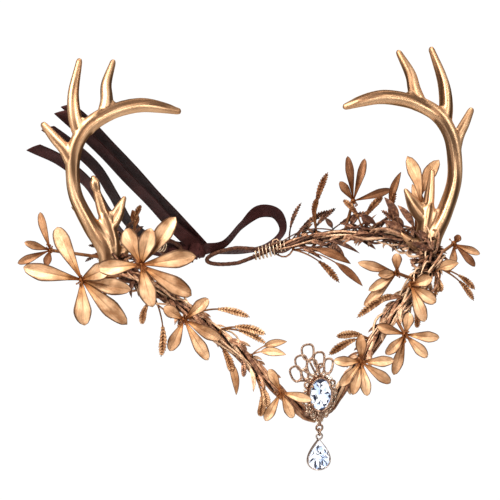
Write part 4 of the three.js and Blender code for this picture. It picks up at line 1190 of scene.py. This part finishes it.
def ribbon_knot():
    """The knot: a firm middle with two turns of the strip wrapped across it."""
    built = Builder()
    built.ball(KNOT_PLACE, KNOT_HEART, 12, 18)
    places = np.linspace(-1, 1, KNOT_COLUMNS)
    for tilt, shift, width in KNOT_TURNS:
        around = turned(UP, ACROSS, tilt)
        beside = np.cross(around, TOWARD)
        sections = []
        for turn in full_turn(KNOT_STEPS):
            out = turned(around * KNOT_WRAP[0], TOWARD * KNOT_WRAP[1], turn)
            fold = KNOT_FOLD * np.sin(places * 5 + 2 * math.sin(turn) + tilt * 9)
            middle = KNOT_PLACE + out + beside * shift + np.outer(places * width / 2, beside)
            middle = middle + np.outer(fold - KNOT_SAG * places ** 2, unit(out))
            sections.append(two_sided(middle, unit(out) * RIBBON_THICKNESS / 2))
        built.skin(sections, across=there_and_back(places, KNOT_STEPS), line_closed=True)
    return built.piece("ribbon_knot", SATIN)


def sheets(knot):
    """All the strips; the knot argument is not used."""
    for name, rows in RIBBONS.items():
        made, length = ribbon(name, rows)


# Jewel: wire cells with bead edges, a bezel with claws, leaf loops, cut stones and linked rings
def on_face(x, z, forward=0.0):
    return JEWEL_PLACE + np.array([x, -forward, z])


def oval(half, forward, count=40):
    return np.array([on_face(half[0] * math.cos(turn), half[1] * math.sin(turn), forward)
                     for turn in full_turn(count)])


def hoop(built, centre, first, radius, wire):
    """A round wire ring that stands upright."""
    line = np.array([centre + radius * turned(first, UP, turn) for turn in full_turn(40)])
    built.tube(line, wire, 10, closed=True)


def beads(built, line, radius, spacing, tint=0.5):
    closed = np.vstack([line, line[:1]])
    count = max(6, int(travelled(closed)[-1] / spacing))
    for place in even_line(closed, count + 1)[:-1]:
        built.ball(place, radius, 5, 6, tint)


def rod(built, start, end, radius, sides=10, count=5):
    built.tube(np.linspace(start, end, count), radius, sides)


def wall(built, outer, inner, back, front):
    """A closed wall between two outlines, from a back depth to a front one, its corners eased."""
    sections = []
    for o, i in zip(outer, inner):
        corners = [o + FORWARD * front, i + FORWARD * front, i + FORWARD * back, o + FORWARD * back]
        eased = []
        for a, b in zip(corners, corners[1:] + corners[:1]):
            eased.extend([a + (b - a) * CORNER_EASE, b + (a - b) * CORNER_EASE])
        sections.append(np.array(eased))
    built.skin(sections, line_closed=True)


def upright(turn):
    """The way at an angle from straight up on the jewel's face, as x and z."""
    return np.array([-math.sin(turn), math.cos(turn)])


def leaf_loop(length, half_width, angle, count=24):
    """A pointed loop that starts at the stone's edge and points out at an angle from straight up."""
    way = upright(math.radians(angle))
    beside = np.array([way[1], -way[0]])
    start = way * (np.array(STONE_HALF) + 0.4)
    reach = max(3.0, length - np.linalg.norm(start))
    points = []
    for step in full_turn(count):
        along = (1 - math.cos(step)) / 2
        swell = math.sin(step) * (1 - 0.35 * along)
        place = start + way * (along * (reach + 1.2) - 0.6) + beside * half_width * swell
        points.append(on_face(*place, LEAF_FORWARD))
    return np.array(points)


def outline(half, pear=False, count=48):
    """An outline round its middle, as x and z, oval or pear-shaped with its point up."""
    turns = 2 * math.pi * (np.arange(count) + 0.5) / count
    if not pear:
        return np.stack([half[0] * np.cos(turns), half[1] * np.sin(turns)], axis=1)
    swell = np.sin(turns) * np.abs(np.sin(turns / 2)) ** PEAR_FULLNESS / PEAR_WIDEST
    return np.stack([half[0] * swell, half[1] * np.cos(turns)], axis=1)


def grown(half, by):
    return (half[0] + by, half[1] + by)


def flat_ring(place, half, pear=False):
    return [place + np.array([x, 0, z]) for x, z in outline(half, pear)]


def bezel(built):
    window = (STONE_HALF[0] * WINDOW_SHARE, STONE_HALF[1] * WINDOW_SHARE)
    wall(built, flat_ring(JEWEL_PLACE, PLATE_HALF), flat_ring(JEWEL_PLACE, window), *PLATE_DEPTHS)
    inner = flat_ring(JEWEL_PLACE, grown(STONE_HALF, STONE_PLAY))
    wall(built, flat_ring(JEWEL_PLACE, grown(STONE_HALF, BEZEL_WALL)), inner, BEZEL_BACK, BEZEL_FRONT)
    beads(built, oval(grown(STONE_HALF, 0.75), BEZEL_FRONT), BEZEL_BEAD, BEZEL_BEAD_SPACING)
    for corner in CLAW_ANGLES:
        turn = math.radians(corner)
        x, z = math.cos(turn) * (STONE_HALF[0] + 0.1), math.sin(turn) * (STONE_HALF[1] + 0.1)
        built.ball(on_face(x, z, BEZEL_FRONT + 0.4), CLAW_RADIUS, 7, 9)


def crest_cell(middle, way, half_width, half_length, forward, count=36):
    """An arched loop with nearly straight sides that narrow a little toward the stone."""
    beside = np.array([way[1], -way[0]])
    points = []
    for step in full_turn(count):
        swell = CELL_WAIST + (1 - CELL_WAIST) * (1 + math.cos(step)) / 2
        along = math.copysign(abs(math.cos(step)) ** CELL_SQUARE, math.cos(step))
        aside = math.copysign(abs(math.sin(step)) ** CELL_SQUARE, math.sin(step))
        place = middle + way * half_length * along + beside * half_width * aside * swell
        points.append(on_face(*place, forward))
    return np.array(points)


def crest(built):
    """A fan of roped loops that stand nearly upright, each on a rib that gathers at the stone."""
    for turn, distance, half_length, half_width in CREST_CELLS:
        lean = math.radians(turn + CREST_LEAN)
        middle = upright(lean) * distance
        way = upright(lean * CELL_LEAN)
        wire, rope = [crest_cell(middle, way, half_width + wider, half_length + longer, forward)
                      for wider, longer, forward in (CELL_WIRE, CELL_ROPE)]
        built.tube(wire, FILIGREE_WIRE, 8, closed=True)
        beads(built, rope, ROPE_RADIUS, ROPE_SPACING)
        edge = upright(lean * RIB_GATHER) * (np.array(STONE_HALF) + 0.8)
        foot = middle - way * (half_length - 0.5)
        rod(built, on_face(*foot, 0.7), on_face(*edge, 0.9), FILIGREE_WIRE, 6)


def beaded_plate(built):
    """Beads on the plate round the stone and on the tongue below it."""
    for by in PLATE_BEAD_ROWS:
        row = oval(grown(STONE_HALF, by), PLATE_BEAD_FORWARD)
        beads(built, row, PLATE_BEAD, PLATE_BEAD_SPACING, tint=1.0)
    top, point, half_width = TONGUE_BEADS
    for z in np.arange(top, point, -PLATE_BEAD_SPACING):
        half = half_width * part_way(z, point, top)
        for x in np.arange(-half, half + 0.1, PLATE_BEAD_SPACING):
            built.ball(on_face(x, z, 1.0), PLATE_BEAD, 5, 6, tint=1.0)


def setting():
    built = Builder()
    bezel(built)
    beaded_plate(built)
    crest(built)
    mirrored = [(-angle, length, half_width) for angle, length, half_width in SIDE_LEAVES]
    for angle, length, half_width in [*SIDE_LEAVES, *mirrored, LOWEST_LEAF]:
        loop = leaf_loop(length, half_width, angle)
        built.tube(loop, FILIGREE_WIRE, 7, closed=True)
        beads(built, loop + FORWARD * 0.5, LEAF_BEAD, LEAF_BEAD_SPACING)
    rod(built, on_face(0, -9.5, 0.6), on_face(0, -18.6, 0.6), np.linspace(*TONGUE_RADII, 6), count=6)
    for x, z in PEGS:
        rod(built, on_face(x, z, -PEG_LENGTH), on_face(x, z, 0.5), PEG_RADIUS)
    hoop(built, EYE_PLACE, RIGHT, *EYE_SIZE)
    built.piece("setting", JEWEL_GOLD)


def cut_stone(name, centre, half, girdle, table, culet, pear, body):
    """A brilliant-cut stone: clear crown facets over foil-backed pavilion facets, the foils painted as white,
    blue and dark reflections that glow.
    """
    shape = bmesh.new()
    below = culet - girdle
    levels = [(table, 0.52, 8, 0), ((girdle + table) / 2 + 0.25, 0.80, 8, 8), (girdle + 0.2, 1.0, 16, 8),
              (girdle - 0.2, 1.0, 16, 8), (girdle + 0.25 * below, 0.86, 16, 0),
              (girdle + 0.5 * below, 0.62, 14, 8), (girdle + 0.78 * below, 0.34, 8, 0), (culet, 0.06, 4, 8)]
    for depth, share, count, shift in levels:
        fine = outline(half, pear, FACET_STEPS * count) * share
        for x, z in fine[(np.arange(count) * FACET_STEPS + shift) % len(fine)]:
            shape.verts.new((centre + np.array([x, -depth, z])) * MM)
    hull = bmesh.ops.convex_hull(shape, input=shape.verts)
    inside = [v for v in hull["geom_interior"] if isinstance(v, bmesh.types.BMVert)]
    bmesh.ops.delete(shape, geom=inside, context="VERTS")
    bmesh.ops.recalc_face_normals(shape, faces=shape.faces)
    mesh = bpy.data.meshes.new("visual_" + name)
    shape.to_mesh(mesh)
    shape.free()
    dress(show("visual_" + name, mesh), name, CRYSTAL_GLASS, body)
    for foil in CRYSTAL_FOIL_REFLECTIONS:
        mesh.materials.append(foil)
    for polygon in mesh.polygons:
        # Each pavilion facet takes one of the painted reflections at random.
        polygon.material_index = int(rng.choice(FOIL_REFLECTION_CHOICE)) if polygon.normal.y > 0.2 else 0


def drop_bezel():
    built = Builder()
    outer = flat_ring(DROP_PLACE, grown(PEAR_HALF, PEAR_WALL), True)
    inner = flat_ring(DROP_PLACE, grown(PEAR_HALF, PEAR_PLAY), True)
    wall(built, outer[::-1], inner[::-1], -DROP_HALF_DEPTH, DROP_RIM)
    hoop(built, BAIL_PLACE, RIGHT, *BAIL_SIZE)
    built.piece("drop_bezel", DROP_GOLD, "drop")


def jump_ring():
    built = Builder()
    hoop(built, JUMP_PLACE, FORWARD, *JUMP_SIZE)
    built.piece("jump_ring", JEWEL_GOLD, "jump_ring")


# Stage: a pale floor, a wall with a pool of light, soft lights, a dim room and the camera
def lamp(name, across, rise, toward, size, power):
    data = bpy.data.lights.new(name, "AREA")
    data.shape = "DISK"
    data.size = size
    data.energy = power
    made = show(name, data)
    place = (ACROSS * across + RISE * rise + TOWARD * toward) * MM
    made.location = place
    made.rotation_euler = Vector(-place).to_track_quat("-Z", "Y").to_euler()


def picture_middle():
    aside = (PICTURE_SIZE / 2 - RING_PICTURE_X) * PICTURE_SCALE
    raised = (RING_PICTURE_Y - PICTURE_SIZE / 2) * PICTURE_SCALE
    return aside * ACROSS + raised * RISE


def pale_sheet(name, corners, tone):
    """A flat piece of the stage, plain and pale; gives its nodes and its shader."""
    built = Builder()
    built.skin(corners, open_strip=True)
    made = built.make(name)
    paper, tree, shader = new_material(name, 0.0, 0.9, Base_Color=tone)
    made.data.materials.append(paper)
    return tree, shader


def stage():
    """A pale floor well below the crown, and a wall behind it with a soft pool of white light."""
    floor_rows = [[np.array([x, y, FLOOR_HEIGHT]) for x in (-FLOOR_HALF, FLOOR_HALF)]
                  for y in (-FLOOR_HALF, FLOOR_HALF)]
    pale_sheet("pale_floor", floor_rows, (0.8, 0.8, 0.8))
    middle = picture_middle() - TOWARD * WALL_BEHIND
    wall_rows = [[middle + RISE * up + ACROSS * side for side in (-POOL_EDGE, POOL_EDGE)]
                 for up in (-POOL_EDGE, POOL_EDGE)]
    tree, shader = pale_sheet("white_wall", wall_rows, (0.0, 0.0, 0.0))
    place = add_node(tree, "ShaderNodeTexCoord").outputs["Object"]
    away = add_node(tree, "ShaderNodeVectorMath", {"operation": "DISTANCE"}, {0: place, 1: middle * MM})
    pool = band(tree, away.outputs["Value"], POOL_WHITE * MM, POOL_EDGE * MM, WALL_GLOW, POOL_EDGE_GLOW)
    put(tree, shader, {"Emission Color": (1.0, 1.0, 1.0), "Emission Strength": pool})


def surroundings():
    world = bpy.data.worlds.new("studio")
    world.use_nodes = True
    tree = world.node_tree
    way = add_node(tree, "ShaderNodeTexCoord").outputs["Generated"]
    height = add_node(tree, "ShaderNodeSeparateXYZ", values={0: way}).outputs["Z"]
    lifted = add_node(tree, "ShaderNodeMapRange", values={"Value": height, "From Min": -1.0, "From Max": 1.0})
    tones = ramp(tree, lifted.outputs[0], ROOM_TONES)
    put(tree, tree.nodes["Background"], {"Color": tones, "Strength": ROOM_LIGHT})
    bpy.context.scene.world = world


def camera():
    data = bpy.data.cameras.new("camera")
    data.sensor_width = SENSOR_WIDTH
    data.lens = SENSOR_WIDTH * VIEW_DISTANCE / (PICTURE_SIZE * PICTURE_SCALE)
    data.clip_end = CLIP_END
    made = show("camera", data)
    turn = Matrix([list(row) for row in np.stack([ACROSS, RISE, TOWARD], axis=1)]).to_4x4()
    place = (picture_middle() + VIEW_DISTANCE * TOWARD) * MM
    made.matrix_world = Matrix.Translation(Vector(place)) @ turn
    bpy.context.scene.camera = made


antler(-1, "antler_left")
antler(1, "antler_right")
for flower_name, flower_row in FLOWERS.items():
    flower(flower_name, *flower_row)
for sprig_name, sprig_row in SPRIGS.items():
    sprig(sprig_name, *sprig_row)
for vine_name, vine_span in VINE_SPANS.items():
    vine(vine_name, vine_span)
for loop_side, (loop_start, loop_end, coil_start, coil_end) in LOOPS.items():
    end_loop(loop_side, loop_start, loop_end)
    binding(loop_side, coil_start, coil_end)
sheets(ribbon_knot())
setting()
cut_stone("oval_stone", JEWEL_PLACE, STONE_HALF, STONE_GIRDLE, STONE_TABLE, STONE_CULET, False, "crown")
drop_bezel()
jump_ring()
cut_stone("drop_stone", DROP_PLACE, PEAR_HALF, 0.0, DROP_HALF_DEPTH, -DROP_HALF_DEPTH, True, "drop")

stage()
surroundings()
for lamp_name, lamp_row in LAMPS.items():
    lamp(lamp_name, *lamp_row)
camera()
bpy.context.scene.view_settings.view_transform = "Standard"
